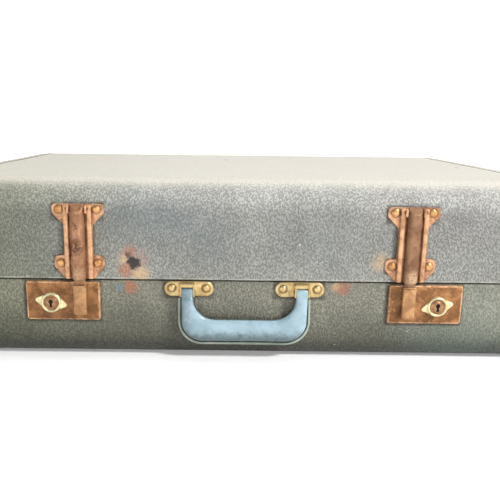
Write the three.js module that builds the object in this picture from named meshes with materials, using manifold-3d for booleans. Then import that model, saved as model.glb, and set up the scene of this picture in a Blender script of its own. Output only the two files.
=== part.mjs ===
// A hard-shell travelling suitcase of covered fibreboard, lying flat and shut.
// Millimetres, +Z up, X across the width, the handle and the two latches on the -Y face.
// The origin is on the surface that the case lies on, in the middle of its whole length and depth.

import * as THREE from 'three';
import { mergeVertices } from 'three/addons/utils/BufferGeometryUtils.js';
import Module from 'manifold-3d';

const wasm = await Module();
wasm.setup();

// ---- driving dimensions -------------------------------------------------------------------

const GAP = 0.3; // clearance between pieces that touch on the real case
const WALL = 4; // fibreboard with its covering
const CASE = { width: 660, depth: 420, height: 175, corner: 45 };
const BASE = { top: 78.1, edge: 25 };
const LID = { bottom: 79.3, edge: 33 };
const END_SEAM = 288; // distance of each end cap's seam from the middle
const LINING = 1.2;
const RIM = { depth: 3.7, foot: 69.5, crest: 86.2, step: 0.6, lidTop: 105 };

const FRONT = -CASE.depth / 2;
const REAR = CASE.depth / 2;
const PLATE = 1; // sheet metal of frames and brackets
const RIVET = { head: 3.75, rise: 1.9, shank: 1.3, hole: 1.6 };

const LATCH = { x: 157, pinY: FRONT - 5.4, pinZ: 147.8, pin: 1.2, bore: 1.5 };
const FRAME = { ear: 24.5, waist: 13.5, foot: 13.8, top: 151.8, bottom: 79.6, rivetX: 17.3 };
const LEVER = { halfWidth: 6.8, back: FRONT - 1.6, proud: 7.8, bottom: 79.6, eye: 3.8 };
const NECK = { halfWidth: 5.2, from: 71, depth: 1.9 };
const TONGUE = { halfWidth: 6.25, bottom: 44, top: 72.5, back: FRONT - 2.8, depth: 4 };
const STAPLE = { halfWidth: 1.5, low: 51.5, high: 61.5, tip: FRONT + 3.4, channel: 4.3 };

const LOCK = { inner: -18.8, outer: 52.5, low: 38.5, high: 77.2, depth: 2.2, radius: 3 };
const BUTTON = { x: 28, z: 56.6, outer: 9.75, inner: 7.9, tilt: 12, travel: 5 };
const STEM = { from: 24, to: 42, halfHeight: 2.5 };
const KEY = { radius: 7.6, shaft: 2.2, bore: 2.6 };
const LOCK_CASE = { inner: -5, outer: 52, low: 45, high: 68, back: FRONT + 7.5, wall: 1.2 };
const SPRING = { from: 44.7, to: 50.1, radius: 2.3, wire: 0.35, turns: 4 };

const HANDLE = { half: 63.5, low: 17.6, innerHalf: 46.2, innerLow: 42.3, shoulder: 61.2 };
const TAB = { x: 54.6, half: 5, pinY: FRONT - 6.4, pinZ: 69.9, barrel: 3.4, pin: 1.6, bore: 1.9 };
const BRACKET = { x: 53.2, z: 70.9, half: 23.5, radius: 7.25, rivetX: 16.3, low: 65, high: 77.6 };

const HINGE = { x: 200, half: 30, middle: 11.6, pinY: REAR + 3.5, pinZ: 78.7, barrel: 3.2 };
const HINGE_LEAF = { depth: 1.2, length: 28, clear: 3.7, pin: 1.5, bore: 1.8 };
const FOOT = { x: 250, radius: 9, rise: 8, baseZ: 38, lidZ: 138 };

const CORNER_STEPS = 6;
const EDGE_STEPS = 5;

// ---- finishes -----------------------------------------------------------------------------

function finish(color, roughness, metalness = 0) {
  return new THREE.MeshStandardMaterial({ color, roughness, metalness });
}

const cover = () => finish(0x9fa096, 0.55);
const liningCloth = () => finish(0xb8a98a, 0.9);
const board = () => finish(0x8c7a5a, 0.8);
const copperSteel = () => finish(0xa0744f, 0.5, 0.8);
const brass = () => finish(0xbfa66e, 0.4, 0.9);
const steel = () => finish(0x8d8f90, 0.45, 0.9);
const handleFront = () => finish(0xa9c0c8, 0.2);
const handleShell = () => finish(0x9aa792, 0.35);

// ---- solids -------------------------------------------------------------------------------

function toSolid(geometry) {
  const bare = geometry.clone();
  bare.deleteAttribute('normal');
  bare.deleteAttribute('uv');
  const merged = mergeVertices(bare, 1e-4);
  const index = merged.index.array;
  const triangles = [];
  for (let i = 0; i < index.length; i += 3) {
    const [a, b, c] = [index[i], index[i + 1], index[i + 2]];
    if (a !== b && b !== c && c !== a) triangles.push(a, b, c);
  }
  return new wasm.Manifold(new wasm.Mesh({
    numProp: 3,
    vertProperties: new Float32Array(merged.attributes.position.array),
    triVerts: new Uint32Array(triangles),
  }));
}

function toGeometry(solid) {
  const mesh = solid.getMesh();
  const geometry = new THREE.BufferGeometry();
  geometry.setAttribute('position', new THREE.BufferAttribute(mesh.vertProperties, 3));
  geometry.setIndex(new THREE.BufferAttribute(mesh.triVerts, 1));
  return geometry;
}

function join(first, ...others) {
  return toGeometry(others.reduce((sum, part) => sum.add(toSolid(part)), toSolid(first)));
}

function cut(body, ...tools) {
  return toGeometry(tools.reduce((rest, tool) => rest.subtract(toSolid(tool)), toSolid(body)));
}

function keep(body, region) {
  return toGeometry(toSolid(body).intersect(toSolid(region)));
}

function box(x0, x1, y0, y1, z0, z1) {
  const geometry = new THREE.BoxGeometry(Math.abs(x1 - x0), Math.abs(y1 - y0), Math.abs(z1 - z0));
  return geometry.translate((x0 + x1) / 2, (y0 + y1) / 2, (z0 + z1) / 2);
}

function rodX(radius, x0, x1, y, z, sides = 12) {
  const geometry = new THREE.CylinderGeometry(radius, radius, Math.abs(x1 - x0), sides);
  return geometry.rotateZ(Math.PI / 2).translate((x0 + x1) / 2, y, z);
}

function rodY(radius, x, y0, y1, z, sides = 12) {
  const geometry = new THREE.CylinderGeometry(radius, radius, Math.abs(y1 - y0), sides);
  return geometry.translate(x, (y0 + y1) / 2, z);
}

// A plate standing on the front: outline in (x, z), its back at y = back, growing towards -Y.
function frontPlate(outline, back, depth, bevel = 0) {
  const geometry = new THREE.ExtrudeGeometry(outline, {
    depth: depth - bevel,
    curveSegments: 6,
    bevelEnabled: bevel > 0,
    bevelThickness: bevel,
    bevelSize: bevel,
    bevelOffset: -bevel,
    bevelSegments: 2,
  });
  const plate = geometry.rotateX(Math.PI / 2).translate(0, back, 0);
  const slab = box(-CASE.width, CASE.width, back, back - 2 * depth, -CASE.height, 2 * CASE.height);
  return bevel > 0 ? keep(plate, slab) : plate;
}

function polygon(points) {
  return new THREE.Shape(points.map(([x, z]) => new THREE.Vector2(x, z)));
}

function roundedRectangle(x0, x1, z0, z1, radius) {
  const shape = new THREE.Shape();
  const turn = Math.PI / 2;
  shape.absarc(x1 - radius, z0 + radius, radius, -turn, 0);
  shape.absarc(x1 - radius, z1 - radius, radius, 0, turn);
  shape.absarc(x0 + radius, z1 - radius, radius, turn, 2 * turn);
  shape.absarc(x0 + radius, z0 + radius, radius, 2 * turn, 3 * turn);
  return shape;
}

// A bar of half-round section standing on y = back, between two heights.
function halfRoundBar(x, halfWidth, back, proud, z0, z1) {
  const section = new THREE.Shape();
  section.moveTo(x + halfWidth, back);
  section.absellipse(x, back, halfWidth, proud, 0, -Math.PI, true);
  const geometry = new THREE.ExtrudeGeometry(section, {
    depth: z1 - z0,
    curveSegments: 8,
    bevelEnabled: false,
  });
  return geometry.translate(0, 0, z0);
}

// A domed head with its shank, turned about its own axis; the head rises along +Y from y = 0.
function dome(radius, rise, shankRadius, shankLength, steps = 3) {
  const profile = [new THREE.Vector2(0, -shankLength), new THREE.Vector2(shankRadius, -shankLength)];
  profile.push(new THREE.Vector2(shankRadius, 0));
  for (let step = 0; step <= steps; step++) {
    const angle = (step / steps) * (Math.PI / 2);
    profile.push(new THREE.Vector2(radius * Math.cos(angle), rise * Math.sin(angle)));
  }
  profile[profile.length - 1].x = 0;
  return new THREE.LatheGeometry(profile, 12);
}

// ---- the two trays ------------------------------------------------------------------------

function ring(inset, z) {
  const radius = CASE.corner - inset;
  const centreX = CASE.width / 2 - CASE.corner;
  const centreY = CASE.depth / 2 - CASE.corner;
  const points = [];
  for (let corner = 0; corner < 4; corner++) {
    const sideX = corner === 0 || corner === 3 ? 1 : -1;
    const sideY = corner < 2 ? 1 : -1;
    for (let step = 0; step <= CORNER_STEPS; step++) {
      const angle = (corner + step / CORNER_STEPS) * (Math.PI / 2);
      const x = sideX * centreX + radius * Math.cos(angle);
      const y = sideY * centreY + radius * Math.sin(angle);
      points.push(new THREE.Vector3(x, y, z));
    }
  }
  return points;
}

// A closed solid through rings of equal count, from the lowest ring to the highest.
function loft(rings) {
  const sorted = [...rings].sort((a, b) => a[0].z - b[0].z);
  const count = sorted[0].length;
  const points = sorted.flat();
  points.push(new THREE.Vector3(0, 0, sorted[0][0].z));
  points.push(new THREE.Vector3(0, 0, sorted.at(-1)[0].z));
  const [bottom, top] = [points.length - 2, points.length - 1];
  const last = (sorted.length - 1) * count;
  const index = [];
  for (let i = 0; i < count; i++) {
    const next = (i + 1) % count;
    index.push(bottom, next, i);
    index.push(top, last + i, last + next);
    for (let level = 0; level < last; level += count) {
      index.push(level + i, level + next, level + count + next);
      index.push(level + i, level + count + next, level + count + i);
    }
  }
  const geometry = new THREE.BufferGeometry().setFromPoints(points);
  geometry.setIndex(index);
  return geometry;
}

// A filled tray with a rounded edge round its closed face; zOpen may lie above or below zClosed.
function tray(inset, edge, zClosed, zOpen) {
  const direction = Math.sign(zOpen - zClosed);
  const radius = edge - inset;
  const rings = [ring(inset, zOpen)];
  for (let step = 0; step <= EDGE_STEPS; step++) {
    const angle = (step / EDGE_STEPS) * (Math.PI / 2);
    const drawnIn = radius * (1 - Math.sin(angle));
    rings.push(ring(inset + drawnIn, zClosed + direction * radius * (1 - Math.cos(angle))));
  }
  return loft(rings);
}

function hoop(inset, thickness, z0, z1) {
  const outside = loft([ring(inset, z0), ring(inset, z1)]);
  return cut(outside, loft([ring(inset + thickness, z0 - 1), ring(inset + thickness, z1 + 1)]));
}

function baseTray(inset, rise = 0) {
  return tray(inset, BASE.edge, inset, BASE.top + rise);
}

function lidTray(inset, drop = 0) {
  return tray(inset, LID.edge, CASE.height - inset, LID.bottom - drop);
}

// The panel that wraps over front, face and back, and the two caps that close its ends.
function splitShell(shell) {
  const reach = CASE.width;
  const between = (x0, x1) => keep(shell, box(x0, x1, -reach, reach, -reach, reach));
  return {
    panel: between(-END_SEAM + GAP / 2, END_SEAM - GAP / 2),
    left: between(-reach, -END_SEAM - GAP / 2),
    right: between(END_SEAM + GAP / 2, reach),
  };
}

function lockWindow(side) {
  const x0 = side * (LATCH.x + LOCK_CASE.inner - GAP);
  const x1 = side * (LATCH.x + LOCK_CASE.outer + GAP);
  return box(x0, x1, FRONT - 1, FRONT + 2 * WALL, LOCK_CASE.low - GAP, LOCK_CASE.high + GAP);
}

function stapleChannel(side) {
  const x = side * LATCH.x;
  const reach = STAPLE.channel;
  return box(x - reach, x + reach, FRONT - 3, FRONT + WALL + 0.2, STAPLE.low - 1.5, BASE.top + 2);
}

function rivetHole(x, z) {
  return rodY(RIVET.hole, x, FRONT - 3, FRONT + WALL + 1, z);
}

function footHole(x, z) {
  return rodY(RIVET.hole, x, REAR - WALL - 1, REAR + 1, z);
}

function baseShell() {
  const holes = [-1, 1].flatMap((side) => [
    lockWindow(side),
    stapleChannel(side),
    ...bracketRivets(side).map(([x, z]) => rivetHole(x, z)),
    footHole(side * FOOT.x, FOOT.baseZ),
  ]);
  return splitShell(cut(baseTray(0), baseTray(WALL, 1), ...holes));
}

function lidShell() {
  const holes = [-1, 1].flatMap((side) => [
    ...frameRivets(side).map(([x, z]) => rivetHole(x, z)),
    footHole(side * FOOT.x, FOOT.lidZ),
  ]);
  return splitShell(cut(lidTray(0), lidTray(WALL, 1), ...holes));
}

function baseLining() {
  const outside = tray(WALL + GAP, BASE.edge, WALL + GAP, RIM.foot - GAP);
  const inset = WALL + GAP + LINING;
  return cut(outside, tray(inset, BASE.edge, inset, RIM.foot + 1), lockWindow(-1), lockWindow(1));
}

function lidLining() {
  const outside = tray(WALL + GAP, LID.edge, CASE.height - WALL - GAP, RIM.lidTop + GAP);
  const inset = WALL + GAP + LINING;
  return cut(outside, tray(inset, LID.edge, CASE.height - inset, RIM.lidTop - 1));
}

// The stiffening frame inside the base; its crest stands up inside the lid and carries it.
function baseRim() {
  const inset = WALL + GAP;
  const foot = hoop(inset, RIM.depth, RIM.foot, BASE.top);
  const crest = hoop(inset + RIM.step, RIM.depth - RIM.step, BASE.top - 1, RIM.crest);
  return join(foot, crest);
}

function lidRim() {
  return hoop(WALL + GAP, RIM.depth, RIM.crest + GAP, RIM.lidTop);
}

// ---- latches ------------------------------------------------------------------------------

function frameRivets(side) {
  const x = side * LATCH.x;
  return [146.5, 95.2].flatMap((z) => [[x - FRAME.rivetX, z], [x + FRAME.rivetX, z]]);
}

function latchFrame(side) {
  const x = side * LATCH.x;
  const half = [
    [FRAME.foot, FRAME.bottom], [24, 91.5], [24, 99.5], [21.5, 102], [FRAME.waist, 102],
    [FRAME.waist, 131], [FRAME.ear, 143], [FRAME.ear, 149.8], [22.5, FRAME.top],
  ];
  const mirrored = [...half].reverse().map(([dx, z]) => [-dx, z]);
  const outline = polygon([...half, ...mirrored].map(([dx, z]) => [x + dx, z]));
  const face = FRONT - GAP - PLATE;
  let frame = frontPlate(outline, FRONT - GAP, PLATE);
  for (const hand of [-1, 1]) {
    const rib = halfRoundBar(x + hand * 10.8, 2.5, face + 0.2, 4, FRAME.bottom + 1.5, 141);
    const lug = box(x + hand * 7.4, x + hand * 9.4, face + 0.2, LATCH.pinY - 2.2, 143.5, 150.8);
    frame = join(frame, rib, lug);
  }
  const bore = rodX(LATCH.bore, x - 12, x + 12, LATCH.pinY, LATCH.pinZ);
  return cut(frame, bore, ...frameRivets(side).map(([rx, z]) => rivetHole(rx, z)));
}

function hasp(side) {
  const x = side * LATCH.x;
  const bar = halfRoundBar(x, LEVER.halfWidth, LEVER.back, LEVER.proud, LEVER.bottom, LATCH.pinZ);
  const eye = rodX(LEVER.eye, x - LEVER.halfWidth, x + LEVER.halfWidth, LATCH.pinY, LATCH.pinZ, 16);
  const [n0, n1] = [x - NECK.halfWidth, x + NECK.halfWidth];
  const neckFront = TONGUE.back - NECK.depth;
  const neck = box(n0, n1, TONGUE.back, neckFront, NECK.from, LEVER.bottom + 2);
  const tongueShape = new THREE.Shape();
  tongueShape.moveTo(x + TONGUE.halfWidth, TONGUE.top);
  tongueShape.lineTo(x - TONGUE.halfWidth, TONGUE.top);
  tongueShape.lineTo(x - TONGUE.halfWidth, TONGUE.bottom + 2);
  tongueShape.quadraticCurveTo(x, TONGUE.bottom - 2, x + TONGUE.halfWidth, TONGUE.bottom + 2);
  const tongue = frontPlate(tongueShape, TONGUE.back, TONGUE.depth, 1.2);
  const reach = STAPLE.halfWidth;
  const staple = box(x - reach, x + reach, TONGUE.back - 0.2, STAPLE.tip, STAPLE.low, STAPLE.high);
  const whole = join(bar, eye, neck, tongue, staple);
  const bore = rodX(LATCH.bore, x - 8, x + 8, LATCH.pinY, LATCH.pinZ);
  const stapleEye = rodX(2.2, x - 4, x + 4, (TONGUE.back + STAPLE.tip) / 2, BUTTON.z);
  return cut(whole, bore, stapleEye);
}

function haspPin(side) {
  const x = side * LATCH.x;
  return rodX(LATCH.pin, x - 10.4, x + 10.4, LATCH.pinY, LATCH.pinZ, 14);
}

function rivet() {
  return dome(RIVET.head, RIVET.rise, RIVET.shank, WALL + PLATE + GAP).rotateX(Math.PI);
}

// ---- locks --------------------------------------------------------------------------------

// A horizontal stretch given by its distances outboard of the latch's middle.
function outboard(side, from, to) {
  return [side * (LATCH.x + from), side * (LATCH.x + to)].sort((a, b) => a - b);
}

function lockPlate(side) {
  const [x0, x1] = outboard(side, LOCK.inner, LOCK.outer);
  const outline = roundedRectangle(x0, x1, LOCK.low, LOCK.high, LOCK.radius);
  const plate = frontPlate(outline, FRONT - GAP, LOCK.depth, 1.4);
  const [s0, s1] = outboard(side, STEM.from - 0.4, STEM.to + BUTTON.travel + 0.8);
  const height = STEM.halfHeight + 0.4;
  const slot = box(s0, s1, FRONT, FRONT - 4, BUTTON.z - height, BUTTON.z + height);
  return cut(plate, slot, stapleChannel(side));
}

function lockCase(side) {
  const [x0, x1] = outboard(side, LOCK_CASE.inner, LOCK_CASE.outer);
  const w = LOCK_CASE.wall;
  const outside = box(x0, x1, FRONT, LOCK_CASE.back, LOCK_CASE.low, LOCK_CASE.high);
  const hollow = box(x0 + w, x1 - w, FRONT - 1, LOCK_CASE.back - w, LOCK_CASE.low + w, LOCK_CASE.high - w);
  return cut(outside, hollow, stapleChannel(side));
}

// The two finger lugs of the button, tapering from the ring to a blunt tip on each side.
function lugOutline(side) {
  const tilt = THREE.MathUtils.degToRad(BUTTON.tilt);
  const along = [-15.3, -14.6, -8, 8, 14.6, 15.3, 15.3, 14.6, 8, -8, -14.6, -15.3];
  const across = [-0.9, -1.7, -4.6, -4.6, -1.7, -0.9, 0.9, 1.7, 4.6, 4.6, 1.7, 0.9];
  const points = along.map((u, i) => {
    const dx = u * Math.cos(tilt) - across[i] * Math.sin(tilt);
    const dz = u * Math.sin(tilt) + across[i] * Math.cos(tilt);
    return [side * (LATCH.x + BUTTON.x + dx), BUTTON.z + dz];
  });
  return polygon(points);
}

function slideButton(side) {
  const x = side * (LATCH.x + BUTTON.x);
  const back = FRONT - 2 * GAP - LOCK.depth;
  const disc = rodY(BUTTON.outer, x, back, back - 1, BUTTON.z, 24);
  const wall = rodY(BUTTON.outer, x, back - 0.5, back - 3.2, BUTTON.z, 24);
  const rim = cut(wall, rodY(BUTTON.inner, x, back - 1, back - 4, BUTTON.z, 24));
  const lugs = cut(frontPlate(lugOutline(side), back, 2), rodY(9, x, back + 1, back - 4, BUTTON.z, 24));
  const [s0, s1] = outboard(side, STEM.from, STEM.to);
  const [c0, c1] = outboard(side, 20, 44);
  const [b0, b1] = outboard(side, STAPLE.channel + 0.6, 20.5);
  const [front, rear] = [FRONT + 0.6, FRONT + 2.6];
  const stem = box(s0, s1, back - 0.5, rear - 0.5, BUTTON.z - STEM.halfHeight, BUTTON.z + STEM.halfHeight);
  const carriage = box(c0, c1, front, rear, BUTTON.z - 5.5, BUTTON.z + 5.5);
  const bolt = box(b0, b1, front, rear, BUTTON.z - 2, BUTTON.z + 2);
  const bore = rodY(KEY.bore, x, back - 2, rear + 1, BUTTON.z);
  return cut(join(disc, rim, lugs, stem, carriage, bolt), bore);
}

function keyPlug(side) {
  const x = side * (LATCH.x + BUTTON.x);
  const back = FRONT - 3 * GAP - LOCK.depth - 1;
  const front = back - 2.1;
  const face = rodY(KEY.radius, x, back, front, BUTTON.z, 20);
  const shaft = rodY(KEY.shaft, x, back - 0.5, FRONT + 5, BUTTON.z);
  const cam = box(x - 1.5, x + 1.5, FRONT + 3.1, FRONT + 5, BUTTON.z, BUTTON.z + 6);
  const keyhole = rodY(1.6, x, front - 1, front + 1.6, BUTTON.z + 1.2);
  const slot = box(x - 0.8, x + 0.8, front - 1, front + 1.6, BUTTON.z - 4, BUTTON.z + 1);
  return cut(join(face, shaft, cam), keyhole, slot);
}

function slideSpring(side) {
  const points = [];
  const steps = SPRING.turns * 8;
  for (let step = 0; step <= steps; step++) {
    const angle = (step / steps) * SPRING.turns * 2 * Math.PI;
    const along = SPRING.from + (SPRING.to - SPRING.from) * (step / steps);
    const y = FRONT + 3 + SPRING.radius * Math.cos(angle);
    points.push(new THREE.Vector3(
      side * (LATCH.x + along), y, BUTTON.z + SPRING.radius * Math.sin(angle),
    ));
  }
  const section = new THREE.Shape().absarc(0, 0, SPRING.wire, 0, 2 * Math.PI);
  return new THREE.ExtrudeGeometry(section, {
    steps,
    curveSegments: 5,
    bevelEnabled: false,
    extrudePath: new THREE.CatmullRomCurve3(points),
  });
}

// ---- handle -------------------------------------------------------------------------------

// The U of the handle between its shoulders; margin draws the outer edge in.
function handleOutline(margin, shoulder) {
  const outer = HANDLE.half - margin;
  const low = HANDLE.low + margin;
  const bend = 23 - margin;
  const inner = HANDLE.innerHalf;
  const innerBend = 18;
  const shape = new THREE.Shape();
  shape.moveTo(-TAB.x - 5, shoulder);
  shape.lineTo(-outer, shoulder - 3.5);
  shape.absarc(-outer + bend, low + bend, bend, Math.PI, 1.5 * Math.PI);
  shape.absarc(outer - bend, low + bend, bend, -0.5 * Math.PI, 0);
  shape.lineTo(outer, shoulder - 3.5);
  shape.lineTo(TAB.x + 5, shoulder);
  shape.lineTo(inner, shoulder);
  shape.absarc(inner - innerBend, HANDLE.innerLow + innerBend, innerBend, 0, -0.5 * Math.PI, true);
  const left = innerBend - inner;
  shape.absarc(left, HANDLE.innerLow + innerBend, innerBend, -0.5 * Math.PI, -Math.PI, true);
  shape.lineTo(-inner, shoulder);
  return shape;
}

function handleGrip() {
  return frontPlate(handleOutline(3.5, HANDLE.shoulder), FRONT - 6.5, 6, 2.4);
}

function handleBack() {
  let shell = frontPlate(handleOutline(0, HANDLE.shoulder + 2.3), FRONT - 3, 3.2);
  for (const side of [-1, 1]) {
    const [x0, x1] = [side * TAB.x - TAB.half, side * TAB.x + TAB.half];
    const neck = box(x0, x1, TAB.pinY + 2.5, TAB.pinY - 2.5, HANDLE.shoulder + GAP, TAB.pinZ);
    const barrel = rodX(TAB.barrel, x0, x1, TAB.pinY, TAB.pinZ, 16);
    const bore = rodX(TAB.bore, x0 - 1, x1 + 1, TAB.pinY, TAB.pinZ);
    shell = cut(join(shell, neck, barrel), bore);
  }
  return shell;
}

function bracketRivets(side) {
  const x = side * BRACKET.x;
  return [[x - BRACKET.rivetX, 71.6], [x + BRACKET.rivetX, 71.6]];
}

function handleBracket(side) {
  const { x, z, half, radius } = BRACKET;
  const [x0, x1] = [side * x - half, side * x + half];
  const outline = roundedRectangle(x0, x1, z - radius, z + radius, radius - 0.01);
  let bracket = frontPlate(outline, FRONT - GAP, PLATE);
  const back = FRONT - GAP - PLATE + 0.2;
  const middle = side * TAB.x;
  for (const hand of [-1, 1]) {
    const [c0, c1] = [middle + hand * 5.4, middle + hand * 7.2];
    const cheek = box(c0, c1, back, FRONT - 10, BRACKET.low, BRACKET.high);
    bracket = join(bracket, cheek);
  }
  const roofLow = TAB.pinZ + TAB.barrel + 0.5;
  const roof = box(middle - 7, middle + 7, back, FRONT - 9, roofLow, BRACKET.high);
  const bore = rodX(TAB.bore, middle - 9, middle + 9, TAB.pinY, TAB.pinZ);
  return cut(join(bracket, roof), bore, ...bracketRivets(side).map(([rx, rz]) => rivetHole(rx, rz)));
}

function handlePin(side) {
  return rodX(TAB.pin, side * TAB.x - 7.8, side * TAB.x + 7.8, TAB.pinY, TAB.pinZ);
}

// ---- hinges and feet ----------------------------------------------------------------------

// One leaf with its knuckles; up is -1 for the base's leaf and +1 for the lid's.
function hingeLeaf(side, up, knuckles) {
  const x = side * HINGE.x;
  const [y0, y1] = [REAR + GAP, REAR + GAP + HINGE_LEAF.depth];
  const [near, far] = [HINGE.pinZ + up * HINGE_LEAF.clear, HINGE.pinZ + up * HINGE_LEAF.length];
  let leaf = box(x - HINGE.half, x + HINGE.half, y0, y1, near, far);
  for (const [k0, k1] of knuckles) {
    const web = box(x + k0, x + k1, y0, y1, HINGE.pinZ, near + up);
    const barrel = rodX(HINGE.barrel, x + k0, x + k1, HINGE.pinY, HINGE.pinZ, 16);
    leaf = join(leaf, web, barrel);
  }
  const bore = rodX(HINGE_LEAF.bore, x - HINGE.half - 1, x + HINGE.half + 1, HINGE.pinY, HINGE.pinZ);
  const rivets = [-20, 20].map((dx) => dome(3, 1.4, 1.2, 0.6).translate(x + dx, y1, HINGE.pinZ + up * 18));
  return cut(join(leaf, ...rivets), bore);
}

function hingePin(side) {
  const reach = HINGE.half + 0.6;
  return rodX(HINGE_LEAF.pin, side * HINGE.x - reach, side * HINGE.x + reach, HINGE.pinY, HINGE.pinZ);
}

function foot() {
  return dome(FOOT.radius, FOOT.rise, RIVET.shank, WALL + GAP - 0.2, 5);
}

// ---- assembly -----------------------------------------------------------------------------

const suitcase = new THREE.Group();
const frontReach = 12.5;
const rearReach = GAP + FOOT.rise;
suitcase.position.y = (frontReach - rearReach) / 2;

function add(name, geometry, material, x = 0, y = 0, z = 0) {
  const mesh = new THREE.Mesh(geometry, material);
  mesh.name = name;
  mesh.position.set(x, y, z);
  suitcase.add(mesh);
}

function addShell(name, shell) {
  add(`${name}_panel`, shell.panel, cover());
  add(`${name}_end_left`, shell.left, cover());
  add(`${name}_end_right`, shell.right, cover());
}

addShell('base', baseShell());
addShell('lid', lidShell());
add('base_rim', baseRim(), board());
add('lid_rim', lidRim(), board());
add('base_lining', baseLining(), liningCloth());
add('lid_lining', lidLining(), liningCloth());

const outerKnuckles = [[-HINGE.half, -HINGE.middle - 0.4], [HINGE.middle + 0.4, HINGE.half]];
const innerKnuckle = [[-HINGE.middle, HINGE.middle]];
for (const [hand, side] of [['left', -1], ['right', 1]]) {
  add(`hinge_base_leaf_${hand}`, hingeLeaf(side, -1, outerKnuckles), steel());
  add(`hinge_lid_leaf_${hand}`, hingeLeaf(side, 1, innerKnuckle), steel());
  add(`hinge_pin_${hand}`, hingePin(side), steel());
  add(`base_foot_${hand}`, foot(), steel(), side * FOOT.x, REAR + GAP, FOOT.baseZ);
  add(`lid_foot_${hand}`, foot(), steel(), side * FOOT.x, REAR + GAP, FOOT.lidZ);

  add(`latch_frame_${hand}`, latchFrame(side), copperSteel());
  add(`hasp_${hand}`, hasp(side), copperSteel());
  add(`hasp_pin_${hand}`, haspPin(side), steel());
  frameRivets(side).forEach(([x, z], i) => {
    add(`latch_rivet_${hand}_${i + 1}`, rivet(), brass(), x, FRONT - 2 * GAP - PLATE, z);
  });

  add(`lock_plate_${hand}`, lockPlate(side), copperSteel());
  add(`lock_case_${hand}`, lockCase(side), steel());
  add(`slide_button_${hand}`, slideButton(side), brass());
  add(`key_plug_${hand}`, keyPlug(side), brass());
  add(`slide_spring_${hand}`, slideSpring(side), steel());

  add(`handle_bracket_${hand}`, handleBracket(side), brass());
  add(`handle_pin_${hand}`, handlePin(side), steel());
  bracketRivets(side).forEach(([x, z], i) => {
    add(`bracket_rivet_${hand}_${i + 1}`, rivet(), brass(), x, FRONT - 2 * GAP - PLATE, z);
  });
}
add('handle_grip', handleGrip(), handleFront());
add('handle_back', handleBack(), handleShell());

export default suitcase;
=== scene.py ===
"""An old hard-shell suitcase, shut and lying flat on a pale floor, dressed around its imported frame."""

import math

import bmesh
import bpy
from mathutils import Euler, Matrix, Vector, noise


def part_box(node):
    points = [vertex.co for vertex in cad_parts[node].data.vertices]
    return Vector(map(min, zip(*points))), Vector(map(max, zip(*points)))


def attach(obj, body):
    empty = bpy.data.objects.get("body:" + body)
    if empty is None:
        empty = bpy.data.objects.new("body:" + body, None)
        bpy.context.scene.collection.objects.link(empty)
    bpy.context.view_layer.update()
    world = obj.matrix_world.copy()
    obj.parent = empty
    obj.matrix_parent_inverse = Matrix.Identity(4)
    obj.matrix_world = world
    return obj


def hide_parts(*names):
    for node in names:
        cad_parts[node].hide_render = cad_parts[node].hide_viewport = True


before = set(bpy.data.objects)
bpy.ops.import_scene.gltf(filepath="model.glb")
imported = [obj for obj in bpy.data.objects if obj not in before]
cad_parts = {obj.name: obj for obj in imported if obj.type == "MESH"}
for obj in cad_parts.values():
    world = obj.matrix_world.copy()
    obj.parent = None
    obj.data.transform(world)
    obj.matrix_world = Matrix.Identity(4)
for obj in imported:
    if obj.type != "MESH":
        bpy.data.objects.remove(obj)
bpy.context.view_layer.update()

MM = 0.001
SIDES = {"left": -1, "right": 1}


def middle(node):
    low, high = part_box(node)
    return (low + high) / 2


BASE_LOW, BASE_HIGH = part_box("base_panel")
LID_LOW, LID_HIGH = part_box("lid_panel")
END_LOW, END_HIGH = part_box("base_end_right")
FRONT = BASE_LOW.y
REAR = BASE_HIGH.y
MIDDLE_Y = (FRONT + REAR) / 2
HALF_X = END_HIGH.x
HALF_Y = (REAR - FRONT) / 2
SEAM_X = (BASE_HIGH.x + END_LOW.x) / 2
SEAM_Z = (BASE_HIGH.z + LID_LOW.z) / 2
TOP_Z = LID_HIGH.z
LATCH_X = middle("hasp_right").x
LOCK_X = middle("key_plug_right").x
CORNER = 45 * MM
BASE_EDGE = 25 * MM
LID_EDGE = 33 * MM
WALL = 4 * MM
REAR_SEAT = REAR + 0.3 * MM
WHITE = (1, 1, 1, 1)


# ---- materials ----------------------------------------------------------------------------


def srgb(red, green, blue):
    """A colour given as it looks on screen, 0 to 255, as the linear one that shaders take."""
    def linear(value):
        value /= 255
        return value / 12.92 if value <= 0.04045 else ((value + 0.055) / 1.055) ** 2.4

    return (linear(red), linear(green), linear(blue), 1)


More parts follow.
